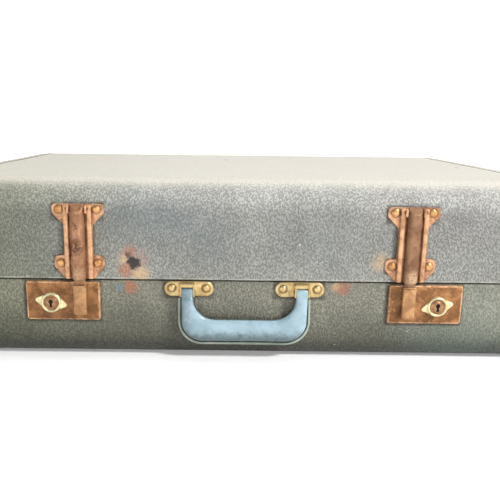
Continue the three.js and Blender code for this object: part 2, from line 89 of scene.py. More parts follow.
class Paint:
    """A node material on object coordinates, which are the row frame's metres."""

    def __init__(self, name):
        self.material = bpy.data.materials.new(name)
        self.material.use_nodes = True
        self.tree = self.material.node_tree
        self.shader = self.tree.nodes["Principled BSDF"]
        coordinates = self.node("ShaderNodeTexCoord").outputs
        self.place = coordinates["Object"]
        self.x, self.y, self.z = self.node("ShaderNodeSeparateXYZ", Vector=self.place).outputs
        self.upward = self.node("ShaderNodeSeparateXYZ", Vector=coordinates["Normal"]).outputs["Z"]

    def node(self, kind, settings=None, **inputs):
        made = self.tree.nodes.new(kind)
        for key, value in (settings or {}).items():
            setattr(made, key, value)
        for key, value in inputs.items():
            self.feed(made.inputs[key.replace("_", " ")], value)
        return made

    def feed(self, socket, value):
        if isinstance(value, bpy.types.NodeSocket):
            self.tree.links.new(value, socket)
        else:
            socket.default_value = value

    def math(self, operation, a, b=0.0):
        made = self.tree.nodes.new("ShaderNodeMath")
        made.operation = operation
        self.feed(made.inputs[0], a)
        self.feed(made.inputs[1], b)
        return made.outputs[0]

    def noise(self, scale, detail=4.0, roughness=0.55, place=None, distortion=0.0):
        made = self.node("ShaderNodeTexNoise", None, Vector=place or self.place, Scale=scale,
                         Detail=detail, Roughness=roughness, Distortion=distortion)
        return made.outputs["Fac"]

    def shifted(self, amount, scale):
        """The place pushed about by a noise, for cells and spots with uneven edges."""
        wobble = self.node("ShaderNodeTexNoise", None, Vector=self.place, Scale=scale, Detail=2.0)
        centred = self.node("ShaderNodeVectorMath", {"operation": "SUBTRACT"})
        self.feed(centred.inputs[0], wobble.outputs["Color"])
        centred.inputs[1].default_value = (0.5, 0.5, 0.5)
        pushed = self.node("ShaderNodeVectorMath", {"operation": "MULTIPLY_ADD"})
        self.feed(pushed.inputs[0], centred.outputs[0])
        pushed.inputs[1].default_value = (amount, amount, amount)
        self.feed(pushed.inputs[2], self.place)
        return pushed.outputs[0]

    def cells(self, scale, place, feature="DISTANCE_TO_EDGE"):
        made = self.node("ShaderNodeTexVoronoi", {"feature": feature}, Vector=place, Scale=scale)
        return made.outputs["Distance"]

    def ramp(self, value, low, high, out_low=0.0, out_high=1.0):
        """value from low to high becomes out_low to out_high, smoothly, and stays there beyond."""
        made = self.tree.nodes.new("ShaderNodeMapRange")
        made.interpolation_type = "SMOOTHSTEP"
        for socket, number in zip(made.inputs, (value, low, high, out_low, out_high)):
            self.feed(socket, number)
        return made.outputs[0]

    def mix(self, share, a, b, blend="MIX"):
        made = self.node("ShaderNodeMix", {"data_type": "RGBA", "blend_type": blend})
        self.feed(made.inputs[0], share)
        self.feed(made.inputs[6], a)
        self.feed(made.inputs[7], b)
        return made.outputs[2]

    def times(self, a, b):
        return self.math("MULTIPLY", a, b)

    def stain(self, colour, mask, share, tint):
        """The colour with a tint laid over it where the mask is, as thickly as share says."""
        return self.mix(self.times(mask, share), colour, tint)

    def shade(self, colour, factor):
        """The colour multiplied all over by a factor or by another colour."""
        return self.mix(1.0, colour, factor, "MULTIPLY")

    def spot(self, centre, radius, edge, place):
        """1 inside a round patch, 0 outside it, over a soft edge."""
        made = self.node("ShaderNodeVectorMath", {"operation": "DISTANCE"})
        self.feed(made.inputs[0], place)
        made.inputs[1].default_value = centre
        return self.ramp(made.outputs["Value"], radius - edge, radius + edge, 1.0, 0.0)

    def finish(self, colour, roughness, height=None, depth=0.2 * MM, strength=1.0, **fixed):
        self.feed(self.shader.inputs["Base Color"], colour)
        self.feed(self.shader.inputs["Roughness"], roughness)
        for key, value in fixed.items():
            self.shader.inputs[key.replace("_", " ")].default_value = value
        if height is not None:
            bump = self.node("ShaderNodeBump", None, Height=height, Distance=depth, Strength=strength)
            self.feed(self.shader.inputs["Normal"], bump.outputs["Normal"])
        return self.material


def leather_grain(paint):
    """Fine slanting wrinkles some 3 mm apart with pebbles between them; 0 in a crease, 1 on top."""
    slant = paint.node("ShaderNodeMapping", None, Vector=paint.shifted(3 * MM, 200.0))
    slant.inputs["Rotation"].default_value = (0, math.radians(35), 0)
    slant.inputs["Scale"].default_value = (1.0, 1.0, 0.65)
    wrinkle = paint.ramp(paint.noise(640.0, 1.5, 0.5, slant.outputs[0]), 0.38, 0.62)
    pebble = paint.ramp(paint.cells(400.0, paint.shifted(2.0 * MM, 420.0)), 0.0, 0.3)
    fleck = paint.ramp(paint.noise(1300.0, 2.0, 0.6), 0.3, 0.7)
    return paint.math("ADD", paint.times(wrinkle, 0.55), paint.math(
        "ADD", paint.times(pebble, 0.25), paint.times(fleck, 0.2)))


def worn_spots(paint, colour, spots):
    """Each spot is (centre, radius, edge, colour, strength); those with soft edges come off in flakes."""
    ragged = paint.shifted(7 * MM, 330.0)
    flakes = paint.ramp(paint.noise(460.0, 4.0, 0.65), 0.38, 0.50, 0.15, 1.0)
    for centre, radius, edge, tint, strength in spots:
        mask = paint.spot(centre, radius, edge, ragged)
        broken = mask if edge < 2 * MM else paint.times(mask, flakes)
        colour = paint.stain(colour, broken, strength, tint)
    return colour


def seam_shadow_and_wear(paint, colour, roughness):
    """A dark matt line painted along the seams between panel and caps as the shadow in the gap, and the lips
    beside it rubbed pale.

    Gives back the colour and the roughness."""
    away = paint.math("ABSOLUTE", paint.math("SUBTRACT", paint.math("ABSOLUTE", paint.x), SEAM_X))
    lips = paint.ramp(away, 4.2 * MM, 2.2 * MM)
    colour = paint.stain(colour, lips, 0.3, srgb(226, 222, 208))
    # Painted shadow in the seam gap: near-black and matt.
    gap_shadow = paint.ramp(away, 1.9 * MM, 1.1 * MM)
    return paint.mix(gap_shadow, colour, srgb(46, 32, 24)), paint.math("MAXIMUM", roughness, gap_shadow)


def shoulder_light(paint, colour):
    """Paints the lid's shoulder brighter and the wall below it duller, whatever lights the case."""
    wall = paint.ramp(paint.z, SEAM_Z + 2 * MM, SEAM_Z + 36 * MM, 1.06, 0.86)
    shoulder = paint.ramp(paint.z, TOP_Z - 36 * MM, TOP_Z - 12 * MM, 1.0, 1.55)
    return paint.shade(colour, paint.times(wall, shoulder))


def shaded_foot(paint, colour):
    """Painted shade round the base's lower edge, with some floor soiling: it darkens towards the floor."""
    return paint.shade(colour, paint.ramp(paint.z, 8 * MM, 27 * MM, 0.45, 1.0))


def fitting_outlines():
    """Rectangles (centre x, centre z, half width, half height) round what is fixed to the front."""
    outlines = []
    for hand, side in SIDES.items():
        x = side * LATCH_X
        for node in (f"lock_plate_{hand}", f"handle_bracket_{hand}"):
            low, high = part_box(node)
            outlines.append(((low.x + high.x) / 2, (low.z + high.z) / 2,
                             (high.x - low.x) / 2, (high.z - low.z) / 2))
        low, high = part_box(f"latch_frame_{hand}")
        outlines.append((x, high.z - 7 * MM, 23 * MM, 7 * MM))
        outlines.append((x, (low.z + high.z) / 2, 13.5 * MM, (high.z - low.z) / 2))
        outlines.append((x, low.z + 16 * MM, 22 * MM, 6 * MM))
    return outlines


def shadow_round_fittings(paint, colour):
    """Painted shadow round the fittings on the front, most of it to their lower left, away from the key
    light on the right.
    """
    nearest = 1.0
    for x, z, half_x, half_z in fitting_outlines():
        beside = paint.math("ABSOLUTE", paint.math("ADD", paint.x, 0.8 * MM - x))
        along = paint.math("ABSOLUTE", paint.math("ADD", paint.z, 0.7 * MM - z))
        outside = paint.math("MAXIMUM", paint.math("SUBTRACT", beside, half_x),
                             paint.math("SUBTRACT", along, half_z))
        nearest = paint.math("MINIMUM", outside, nearest)
    # Painted shadow: darkest against each fitting, fading over 3.6 mm, only on the front, broken up by
    # noise.
    fitting_shadow = paint.ramp(nearest, 3.6 * MM, 0.2 * MM)
    fitting_shadow = paint.times(fitting_shadow, paint.ramp(paint.y, FRONT + 30 * MM, FRONT + 10 * MM))
    fitting_shadow = paint.times(fitting_shadow, paint.ramp(paint.noise(150.0), 0.3, 0.7, 0.45, 0.85))
    return paint.mix(fitting_shadow, colour, srgb(58, 48, 38))


def cover_material(name, upper, lower, left, right, low_z, high_z, spots, top_sheen=None, rim=None):
    """Grained covering cloth. It darkens downwards, on the base as painted shade with soiling low
    down; it darkens and greens to the left as painted shade and greys to the right, where the
    base lightens as painted light; on the lid the top turns pale as painted sheen.
    """
    paint = Paint(name)
    grain = leather_grain(paint)
    drift = paint.times(paint.math("SUBTRACT", paint.noise(7.0, 3.0), 0.5), 0.06)
    # Darker low down: on the base this is painted shade together with soiling.
    height = paint.ramp(paint.math("ADD", paint.z, drift), low_z, high_z)
    colour = paint.mix(height, lower, upper)
    across = paint.math("ADD", paint.x, paint.times(drift, 2.0))
    # Painted shade on the left end, darker and greener; to the right the lid greys and the base lightens
    # with painted light.
    colour = paint.mix(paint.ramp(across, -0.05, -0.27), colour, left, "MULTIPLY")
    colour = paint.mix(paint.ramp(across, 0.05, 0.30), colour, right, "MULTIPLY")
    mottle = paint.ramp(paint.noise(26.0, 5.0, 0.6), 0.3, 0.7, 0.88, 1.1)
    colour = paint.shade(colour, mottle)
    creased = paint.ramp(grain, 0.25, 0.85, 0.68, 1.26)
    depth = paint.ramp(grain, 0.2, 0.9)
    colour = shaded_foot(paint, colour) if top_sheen is None else shoulder_light(paint, colour)
    if top_sheen is not None:
        # Painted sheen on the lid's top: upward faces turn pale cream and their grain flattens, for the
        # light the top catches.
        flat = paint.ramp(paint.upward, 0.62, 0.99)
        creased = paint.stain(creased, flat, 0.8, WHITE)
        colour = paint.stain(colour, flat, 0.8, top_sheen)
        depth = paint.times(depth, paint.ramp(flat, 0.0, 1.0, 1.0, 0.35))
    colour = paint.shade(colour, creased)
    if rim is not None:
        edge = paint.ramp(paint.z, rim + 2.0 * MM, rim + 1.2 * MM)
        rubbed = paint.times(edge, paint.ramp(paint.noise(60.0), 0.35, 0.6, 0.1, 0.5))
        colour = paint.mix(rubbed, colour, srgb(205, 207, 196))
    colour = worn_spots(paint, colour, spots)
    colour = shadow_round_fittings(paint, colour)
    nicks = paint.ramp(paint.cells(34.0, paint.shifted(6 * MM, 80.0), "F1"), 0.035, 0.022)
    colour = paint.stain(colour, nicks, 0.75, srgb(232, 232, 224))
    colour, roughness = seam_shadow_and_wear(paint, colour, paint.ramp(grain, 0.2, 0.9, 0.6, 0.42))
    return paint.finish(colour, roughness, depth, 0.6 * MM, 0.9, Specular_IOR_Level=0.5)


def rusty_steel(name, bright, brown, dark, rubbed=None, spots=(), right=1.0, crest=None):
    """Copper-washed sheet steel: brown tarnish in clouds, rust freckles, paler where it is rubbed,
    with a painted highlight along plate borders and painted light or shade on the right.

    rubbed is (nodes, width): within that width of those nodes' borders the metal is polished
    pale, which also stands for the painted highlight on the plates' bevelled edges.
    right multiplies the colour on the right half of the case, painting light there above 1 and
    shade below 1, and what stands out past the depth crest is worn pale."""
    paint = Paint(name)
    cloud = paint.ramp(paint.noise(75.0, 6.0, 0.65, distortion=0.6), 0.36, 0.66)
    colour = paint.mix(cloud, brown, bright)
    # Painted light or shade on the right half of the case, as the right factor sets.
    colour = paint.shade(colour, paint.ramp(paint.x, -0.1, 0.1, 1.0, right))
    freckle = paint.ramp(paint.noise(420.0, 5.0, 0.7), 0.52, 0.7)
    colour = paint.stain(colour, freckle, 0.55, dark)
    blotch = paint.ramp(paint.noise(95.0, 4.0, 0.6, place=paint.shifted(4 * MM, 70.0)), 0.58, 0.70)
    colour = paint.stain(colour, blotch, 0.6, dark)
    if rubbed:
        nodes, width = rubbed
        for node in nodes:
            # Pale band inside each border: rubbing wear together with the painted highlight of the bevelled
            # edge.
            polish_and_highlight = paint.times(border(paint, node, width),
                                 paint.ramp(paint.noise(240.0, 4.0), 0.35, 0.6, 0.15, 0.85))
            colour = paint.mix(polish_and_highlight, colour, srgb(222, 180, 138))
    if crest is not None:
        rubbed_crest = paint.times(paint.ramp(paint.y, crest + 1.0 * MM, crest),
                                   paint.ramp(paint.noise(160.0, 4.0), 0.35, 0.65, 0.1, 0.75))
        colour = paint.mix(rubbed_crest, colour, srgb(222, 174, 132))
    if spots:
        colour = worn_spots(paint, colour, spots)
    colour = rivet_foot_rings(paint, colour, "latch_rivet")
    pits = paint.noise(700.0, 5.0, 0.65)
    roughness = paint.ramp(cloud, 0.0, 1.0, 0.58, 0.38)
    return paint.finish(colour, roughness, pits, 0.18 * MM, 0.7, Metallic=0.5)


def rivet_foot_rings(paint, colour, kind):
    """A dark ring round the foot of each rivet head of a kind."""
    flat = paint.node("ShaderNodeCombineXYZ", None, X=paint.x, Y=0.0, Z=paint.z).outputs[0]
    for node in sorted(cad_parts):
        if not node.startswith(kind):
            continue
        low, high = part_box(node)
        centre, radius = (low + high) / 2, (high.x - low.x) / 2
        outer = paint.spot((centre.x, 0, centre.z), radius + 0.8 * MM, 0.7 * MM, flat)
        head = paint.spot((centre.x, 0, centre.z), radius - 0.4 * MM, 0.4 * MM, flat)
        ring = paint.math("SUBTRACT", outer, head)
        colour = paint.stain(colour, ring, 0.7, srgb(66, 42, 30))
    return colour


def border(paint, node, width):
    """1 close inside a node's outline as seen from the front, 0 further in and outside it."""
    low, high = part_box(node)
    centre, half = (low + high) / 2, (high - low) / 2
    x = paint.math("SUBTRACT", half.x, paint.math("ABSOLUTE", paint.math("SUBTRACT", paint.x, centre.x)))
    z = paint.math("SUBTRACT", half.z, paint.math("ABSOLUTE", paint.math("SUBTRACT", paint.z, centre.z)))
    near = paint.math("MINIMUM", x, z)
    inside = paint.math("GREATER_THAN", near, -0.5 * MM)
    return paint.times(paint.ramp(near, width, width * 0.6), inside)


def dull_brass(name, bright, dull, stain):
    paint = Paint(name)
    cloud = paint.ramp(paint.noise(130.0, 5.0, 0.6), 0.38, 0.64)
    colour = paint.mix(cloud, dull, bright)
    freckle = paint.ramp(paint.noise(500.0, 4.0, 0.7), 0.58, 0.7)
    colour = paint.stain(colour, freckle, 0.5, stain)
    colour = rivet_foot_rings(paint, colour, "bracket_rivet")
    return paint.finish(colour, paint.ramp(cloud, 0.0, 1.0, 0.46, 0.3),
                        paint.noise(800.0, 3.0), 0.08 * MM, 0.5, Metallic=0.7)


def plain_steel():
    paint = Paint("plain_steel")
    brushed = paint.noise(600.0, 4.0, 0.6)
    colour = paint.mix(paint.ramp(paint.noise(70.0), 0.4, 0.65), srgb(134, 131, 124), srgb(108, 96, 82))
    return paint.finish(colour, paint.ramp(brushed, 0.3, 0.7, 0.3, 0.48), brushed, 0.05 * MM, 0.4,
                        Metallic=0.85)


def lining_cloth():
    """Plain-woven cotton, slightly foxed."""
    paint = Paint("lining_cloth")
    warp = paint.math("SINE", paint.times(paint.x, 6200.0))
    weft = paint.math("SINE", paint.times(paint.math("ADD", paint.y, paint.z), 6200.0))
    weave = paint.ramp(paint.times(warp, weft), -1.0, 1.0)
    colour = paint.mix(weave, srgb(176, 160, 130), srgb(206, 192, 164))
    foxing = paint.ramp(paint.noise(18.0, 5.0, 0.65), 0.55, 0.75)
    colour = paint.stain(colour, foxing, 0.45, srgb(150, 122, 84))
    return paint.finish(colour, 0.92, weave, 0.12 * MM, 0.6, Sheen_Weight=0.25)


def rim_board():
    """Fibreboard edge bound with paper: long fibres and rubbed spots."""
    paint = Paint("rim_board")
    stretched = paint.node("ShaderNodeMapping", None, Vector=paint.place, Scale=(30.0, 30.0, 900.0))
    fibre = paint.noise(3.0, 5.0, 0.6, place=stretched.outputs[0])
    colour = paint.mix(fibre, srgb(92, 84, 68), srgb(140, 129, 104))
    return paint.finish(colour, 0.8, fibre, 0.1 * MM, 0.5)


def handle_plastic():
    """Glossy blue-grey moulding, darker along its lower side with soiling and painted shade, painted shade
    on its left leg and a painted shadow line where it meets the back shell, and scuffed.
    """
    paint = Paint("handle_front_plastic")
    low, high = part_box("handle_grip")
    cloud = paint.ramp(paint.noise(45.0, 4.0, 0.6), 0.35, 0.65)
    colour = paint.mix(cloud, srgb(136, 162, 172), srgb(154, 179, 190))
    drift = paint.times(paint.math("SUBTRACT", paint.noise(150.0, 5.0, 0.65), 0.5), 16 * MM)
    # Darker along the lower side: soiling together with painted shade.
    grime_and_shade = paint.ramp(paint.math("ADD", paint.z, drift), low.z + 14 * MM, low.z + 3 * MM)
    colour = paint.stain(colour, grime_and_shade, 0.85, srgb(66, 84, 85))
    # Painted shade on the outer side of the left leg.
    left_leg_shade = paint.ramp(paint.x, low.x + 16 * MM, low.x + 2 * MM, 1.0, 0.62)
    colour = paint.shade(colour, left_leg_shade)
    scuff = paint.ramp(paint.noise(260.0, 5.0, 0.75, distortion=1.2), 0.60, 0.70)
    colour = paint.stain(colour, scuff, 0.35, srgb(92, 112, 116))
    edge = paint.ramp(paint.y, high.y - 2.6 * MM, high.y - 0.8 * MM)
    below = paint.ramp(paint.z, high.z, high.z - 4 * MM)
    shadow = paint.times(paint.times(edge, below), 0.75)
    colour = paint.mix(shadow, colour, srgb(48, 60, 60))
    roughness = paint.ramp(paint.noise(90.0, 4.0), 0.35, 0.7, 0.2, 0.36)
    return paint.finish(colour, roughness, paint.noise(120.0, 3.0), 0.25 * MM, 0.25,
                        Coat_Weight=0.25, Coat_Roughness=0.15)


def shell_plastic():
    """The handle's back shell: the same moulding, yellowed to a pale grey-green, with painted shadow in its
    bed under the front moulding.
    """
    paint = Paint("handle_shell_plastic")
    cloud = paint.ramp(paint.noise(60.0, 4.0, 0.6), 0.35, 0.65)
    colour = paint.mix(cloud, srgb(128, 142, 130), srgb(160, 168, 156))
    pink = paint.ramp(paint.noise(40.0, 2.0), 0.55, 0.7)
    colour = paint.stain(colour, pink, 0.35, srgb(184, 168, 160))
    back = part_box("handle_back")[1].y
    # Painted shadow in the bed where the front moulding sits.
    bed = paint.ramp(paint.y, back - 2.3 * MM, back - 1.6 * MM)
    colour = paint.stain(colour, bed, 0.85, srgb(46, 52, 48))
    return paint.finish(colour, 0.36, paint.noise(200.0, 3.0), 0.15 * MM, 0.3)


# Near-black for the keyhole's cut faces: painted shade standing in for the dark inside the hole.
def dark_hollow():
    paint = Paint("keyhole_dark")
    colour = paint.mix(paint.noise(300.0), srgb(18, 15, 13), srgb(34, 27, 22))
    return paint.finish(colour, 0.8)


def floor_material():
    """White floor, shaded close to the case and glowing far off so that it ends without a line."""
    paint = Paint("pale_floor")
    colour = paint.mix(paint.noise(3.0), srgb(247, 247, 247), srgb(252, 252, 252))
    away = paint.node("ShaderNodeVectorMath", {"operation": "LENGTH"})
    paint.feed(away.inputs[0], paint.place)
    glow = paint.ramp(away.outputs["Value"], 0.6, 2.6, 0.22, 0.95)
    paint.feed(paint.shader.inputs["Emission Strength"], glow)
    return paint.finish(colour, 0.7, Specular_IOR_Level=0.1, Emission_Color=WHITE)


def wall_material():
    paint = Paint("white_wall")
    colour = paint.mix(paint.noise(2.0), srgb(250, 250, 250), srgb(254, 254, 254))
    return paint.finish(colour, 0.9, Specular_IOR_Level=0.0, Emission_Color=WHITE, Emission_Strength=0.65)


def marks(x, y, z, *rows):
    """Spots about a point; each row is (right, up, radius, edge, colour, strength), lengths in mm."""
    return [((x + right * MM, y, z + up * MM), radius * MM, edge * MM, tint, strength)
            for right, up, radius, edge, tint, strength in rows]


def lid_spots():
    """Rust round a lost stud, a rubbed patch by the right latch, smudges between, and marks on top."""
    stud_x, stud_z = 49 * MM - LATCH_X, SEAM_Z + 17 * MM
    rub_x, rub_z = LATCH_X - 28 * MM, SEAM_Z + 20 * MM
    tan, pink, orange = srgb(204, 172, 128), srgb(176, 138, 124), srgb(172, 100, 56)
    dark, slate = srgb(34, 26, 28), srgb(92, 108, 112)
    stud = marks(stud_x, FRONT, stud_z,
                 (1, 1, 14, 6, pink, 0.55), (-6, -8, 6, 4, orange, 0.8), (9, -11, 7, 4, tan, 0.9),
                 (-7, 3, 4, 3, tan, 0.9), (-2, 11, 5, 3, orange, 0.7), (2, 0, 6.3, 1.5, dark, 0.95),
                 (-3, 8, 3, 1.5, dark, 0.75))
    rub = marks(rub_x, FRONT, rub_z, (0, 0, 8, 5, tan, 0.6), (9, -9, 5, 4, pink, 0.5))
    smudges = marks(stud_x, FRONT, SEAM_Z, (2, 62, 22, 20, slate, 0.42), (38, 58, 20, 18, slate, 0.4),
                    (75, 44, 24, 20, slate, 0.3))
    smudges += marks(LATCH_X, FRONT, SEAM_Z, (-80, 40, 30, 26, slate, 0.18))
    top = marks(0, MIDDLE_Y + 65 * MM, TOP_Z, (-17, 0, 3.2, 1.2, dark, 0.7))
    top += marks(0, MIDDLE_Y - 30 * MM, TOP_Z, (262, 0, 3.2, 1.2, dark, 0.7))
    return stud + rub + smudges + top


def base_spots():
    """Bare patches under the lid's, and damp stains low down."""
    orange, tan = srgb(172, 98, 66), srgb(186, 150, 112)
    blue, damp = srgb(92, 122, 150), srgb(104, 136, 128)
    left = marks(48 * MM - LATCH_X, FRONT, SEAM_Z,
                 (0, -7, 6, 4, orange, 0.8), (-11, -8, 3, 1.5, blue, 0.5))
    right = marks(LATCH_X, FRONT, SEAM_Z, (-62, -6, 6.5, 4, orange, 0.7), (-70, -5, 4, 3, tan, 0.8))
    return left + right + marks(LATCH_X, FRONT, 0, (50, 30, 50, 30, damp, 0.2))


def lever_spots():
    """Rust halfway down the left lever, and copper scraped bright at the foot of both."""
    front = FRONT - 8 * MM
    rust, scraped = srgb(78, 44, 32), srgb(222, 188, 152)
    left = marks(-LATCH_X, front, SEAM_Z, (-2, 33, 7, 4, rust, 0.9), (-1, 52, 3, 2.5, rust, 0.7))
    right = marks(LATCH_X, front, SEAM_Z, (1, 6, 6, 5, scraped, 0.7))
    return left + right + marks(-LATCH_X, front, SEAM_Z, (-1, 7, 5, 5, scraped, 0.5))


def plate_stains_and_shadows():
    """Darker brown patches on the lock plates: beside the tongues they paint the tongues' shadow along with
    soiling, and others lie low down and along the bottom.
    """
    spots = []
    for hand, x, up, radius, strength in (
            ("left", -14, 6, 9, 0.75), ("left", -31, 3, 9, 0.4), ("left", 13, 4, 5, 0.3),
            ("right", -12, 12, 9, 0.85), ("right", -12, 28, 8, 0.85), ("right", 21, 3, 10, 0.65)):
        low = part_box(f"lock_plate_{hand}")[0]
        centre = (SIDES[hand] * LATCH_X + x * MM, FRONT - 1 * MM, low.z + up * MM)
        spots.append((centre, radius * MM, 6 * MM, srgb(92, 58, 31), strength))
    return spots


# The base's darker colours are painted shade on its wall with soiling low down; the left factors paint
# shade, the base's right factor paints light, and the lid's pale cream colour is the painted sheen on its
# top.
LID_COVER = cover_material(
    "grained_cover_lid", srgb(153, 153, 148), srgb(145, 146, 140), (0.55, 0.58, 0.44, 1),
    (0.98, 0.97, 0.98, 1), SEAM_Z, TOP_Z - 20 * MM, lid_spots(), srgb(218, 213, 200), LID_LOW.z)
BASE_COVER = cover_material(
    "grained_cover_base", srgb(129, 128, 114), srgb(84, 84, 71), (0.82, 0.86, 0.74, 1),
    (1.2, 1.2, 1.22, 1), 12 * MM, SEAM_Z - 15 * MM, base_spots())
# The right factors paint light on the right-hand plate and tongue, and shade on the right-hand lever.
COPPER = rusty_steel("coppered_steel", srgb(162, 113, 70), srgb(116, 77, 43), srgb(70, 43, 28),
                     (("lock_plate_left", "lock_plate_right"), 2.2 * MM), plate_stains_and_shadows(), right=1.2)
FRAME_COPPER = rusty_steel("coppered_frame", srgb(212, 164, 126), srgb(152, 106, 74), srgb(92, 58, 42),
                           crest=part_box("latch_frame_left")[1].y - 4.4 * MM)
LEVER_COPPER = rusty_steel("coppered_lever", srgb(182, 137, 102), srgb(146, 104, 73), srgb(78, 48, 36),
                           spots=lever_spots(), right=0.68)
TONGUE_COPPER = rusty_steel("coppered_tongue", srgb(188, 144, 99), srgb(154, 112, 74), srgb(96, 64, 42),
                            right=1.1)
PIN_STEEL = rusty_steel("rusted_pin", srgb(112, 84, 64), srgb(82, 60, 46), srgb(50, 36, 30))
BRASS = dull_brass("brass_plate", srgb(214, 190, 136), srgb(184, 154, 102), srgb(116, 84, 54))
RIVET_BRASS = dull_brass("rivet_brass", srgb(216, 164, 108), srgb(182, 132, 84), srgb(112, 74, 48))
PALE_BRASS = dull_brass("pale_brass", srgb(240, 232, 190), srgb(216, 200, 150), srgb(160, 132, 92))
PLUG_BRASS = dull_brass("plug_brass", srgb(176, 135, 98), srgb(140, 102, 72), srgb(88, 58, 40))
STEEL = plain_steel()
LINING = lining_cloth()
BOARD = rim_board()
HANDLE_PLASTIC = handle_plastic()
SHELL_PLASTIC = shell_plastic()
HOLLOW = dark_hollow()


# ---- mesh building ------------------------------------------------------------------------


def filled(parts):
    """A working mesh of several closed parts, each (points, faces)."""
    work = bmesh.new()
    for points, faces in parts:
        made = [work.verts.new(point) for point in points]
        for face in faces:
            work.faces.new([made[i] for i in face])
    bmesh.ops.recalc_face_normals(work, faces=work.faces)
    return work


def settled(work, mesh_name, name, sharp):
    """Turns a working mesh into an object, smooth but for its sharp edges."""
    mesh = bpy.data.meshes.new(mesh_name)
    work.to_mesh(mesh)
    work.free()
    mesh.shade_smooth()
    mesh.set_sharp_from_angle(angle=math.radians(sharp))
    piece = bpy.data.objects.new(name, mesh)
    bpy.context.scene.collection.objects.link(piece)
    return piece


def build(name, parts, sharp=35):
    return settled(filled(parts), name, name, sharp)


def dress(piece, body, material, slot, *nodes):
    """Gives a piece its material, its body and the CAD nodes that it stands for; slot is not used."""
    piece.data.materials.append(material)
    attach(piece, body)
    if nodes:
        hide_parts(*nodes)
    return piece


def loft(rings, closed=False):
    """Joins rings of equal count; the ends are capped unless the last ring meets the first."""
    count = len(rings[0])
    points = [point for one in rings for point in one]
    faces = []
    pairs = len(rings) if closed else len(rings) - 1
    for level in range(pairs):
        here, there = level * count, (level + 1) % len(rings) * count
        for i in range(count):
            j = (i + 1) % count
            faces.append((here + i, here + j, there + j, there + i))
    if not closed:
        faces.append(tuple(range(count)))
        faces.append(tuple(range(len(points) - count, len(points))))
    return points, faces


def rounded(corners, steps=6):
    """An outline from corners (x, z, radius), counter-clockwise, each rounded by an arc."""
    outline = []
    for i, (x, z, radius) in enumerate(corners):
        here = Vector((x, z))
        back = (Vector(corners[i - 1][:2]) - here).normalized()
        ahead = (Vector(corners[(i + 1) % len(corners)][:2]) - here).normalized()
        half = back.angle(ahead) / 2
        centre = here + (back + ahead).normalized() * radius / math.sin(half)
        start = here + back * radius / math.tan(half) - centre
        end = here + ahead * radius / math.tan(half) - centre
        sweep = start.angle_signed(end)
        for step in range(steps + 1):
            turn = -sweep * step / steps
            spoke = Vector((
                start.x * math.cos(turn) - start.y * math.sin(turn),
                start.x * math.sin(turn) + start.y * math.cos(turn),
            ))
            outline.append(centre + spoke)
    return outline


def inset(outline, amount):
    """Draws a counter-clockwise outline in; amount may be a number or a function of the point."""
    drawn = []
    for i, point in enumerate(outline):
        before = (point - outline[i - 1]).normalized()
        after = (outline[(i + 1) % len(outline)] - point).normalized()
        along = (before + after).normalized()
        inward = Vector((-along.y, along.x))
        lean = max(0.5, inward.dot(Vector((-before.y, before.x))))
        step = amount(point) if callable(amount) else amount
        drawn.append(point + inward * step / lean)
    return drawn


def relief(outline, back, levels, facing=-1):
    """A plate on the front (facing -1) or rear (+1) wall; levels are (inset, height) from its back."""
    rings = []
    for amount, height in levels:
        drawn = inset(outline, amount) if amount else outline
        rings.append([Vector((p.x, back + facing * height, p.y)) for p in drawn])
    return loft(rings)


def crown(edge, rise, steps=5, start=0.0):
    """Levels of a quarter-round edge: drawn in by edge over the last of the height."""
    levels = []
    for step in range(steps + 1):
        angle = step / steps * math.pi / 2
        levels.append((edge * (1 - math.cos(angle)), start + rise * math.sin(angle)))
    return levels


def rectangle(low, high, radius, steps=6):
    """The outline from the front of the box between two corners, its own corners rounded."""
    return rounded([(low[0], low[2], radius), (high[0], low[2], radius),
                    (high[0], high[2], radius), (low[0], high[2], radius)], steps)


def block(one, other, bevel):
    """A bar between any two opposite corners, its four edges along Y rounded and its faces eased."""
    low, high = [[pick(pair) for pair in zip(one, other)] for pick in (min, max)]
    outline = rectangle(low, high, bevel, 3)
    depth = high[1] - low[1]
    levels = [(bevel, 0), (0, bevel), (0, depth - bevel), (bevel, depth)]
    return relief(outline, high[1], levels)


def in_mm(profile):
    return [(across * MM, along * MM) for across, along in profile]


def turned(profile, origin, axis, steps, ring=False):
    """A solid of revolution; profile is (radius, height along the axis).

    It starts and ends on the axis, or for a ring closes on itself clear of it."""
    axis = Vector(axis).normalized()
    side = axis.orthogonal().normalized()
    other = axis.cross(side)
    rings = []
    for radius, height in profile:
        centre = Vector(origin) + axis * height
        circle = []
        for step in range(steps):
            angle = 2 * math.pi * step / steps
            circle.append(centre + (side * math.cos(angle) + other * math.sin(angle)) * radius)
        rings.append(circle)
    return loft(rings, ring)


def carve(piece, tool, inside=None):
    """Cuts the tool's shape out of a piece; the cut's own faces may take another material."""
    if inside:
        tool.data.materials.append(inside)
    modifier = piece.modifiers.new("carve", "BOOLEAN")
    modifier.operation = "DIFFERENCE"
    modifier.solver = "EXACT"
    modifier.material_mode = "TRANSFER" if inside else "INDEX"
    modifier.object = tool
    bpy.context.view_layer.update()
    evaluated = piece.evaluated_get(bpy.context.evaluated_depsgraph_get())
    mesh = bpy.data.meshes.new_from_object(evaluated)
    piece.modifiers.clear()
    piece.data = mesh
    mesh.set_sharp_from_angle(angle=math.radians(35))
    bpy.data.objects.remove(tool)


# ---- the shells ---------------------------------------------------------------------------


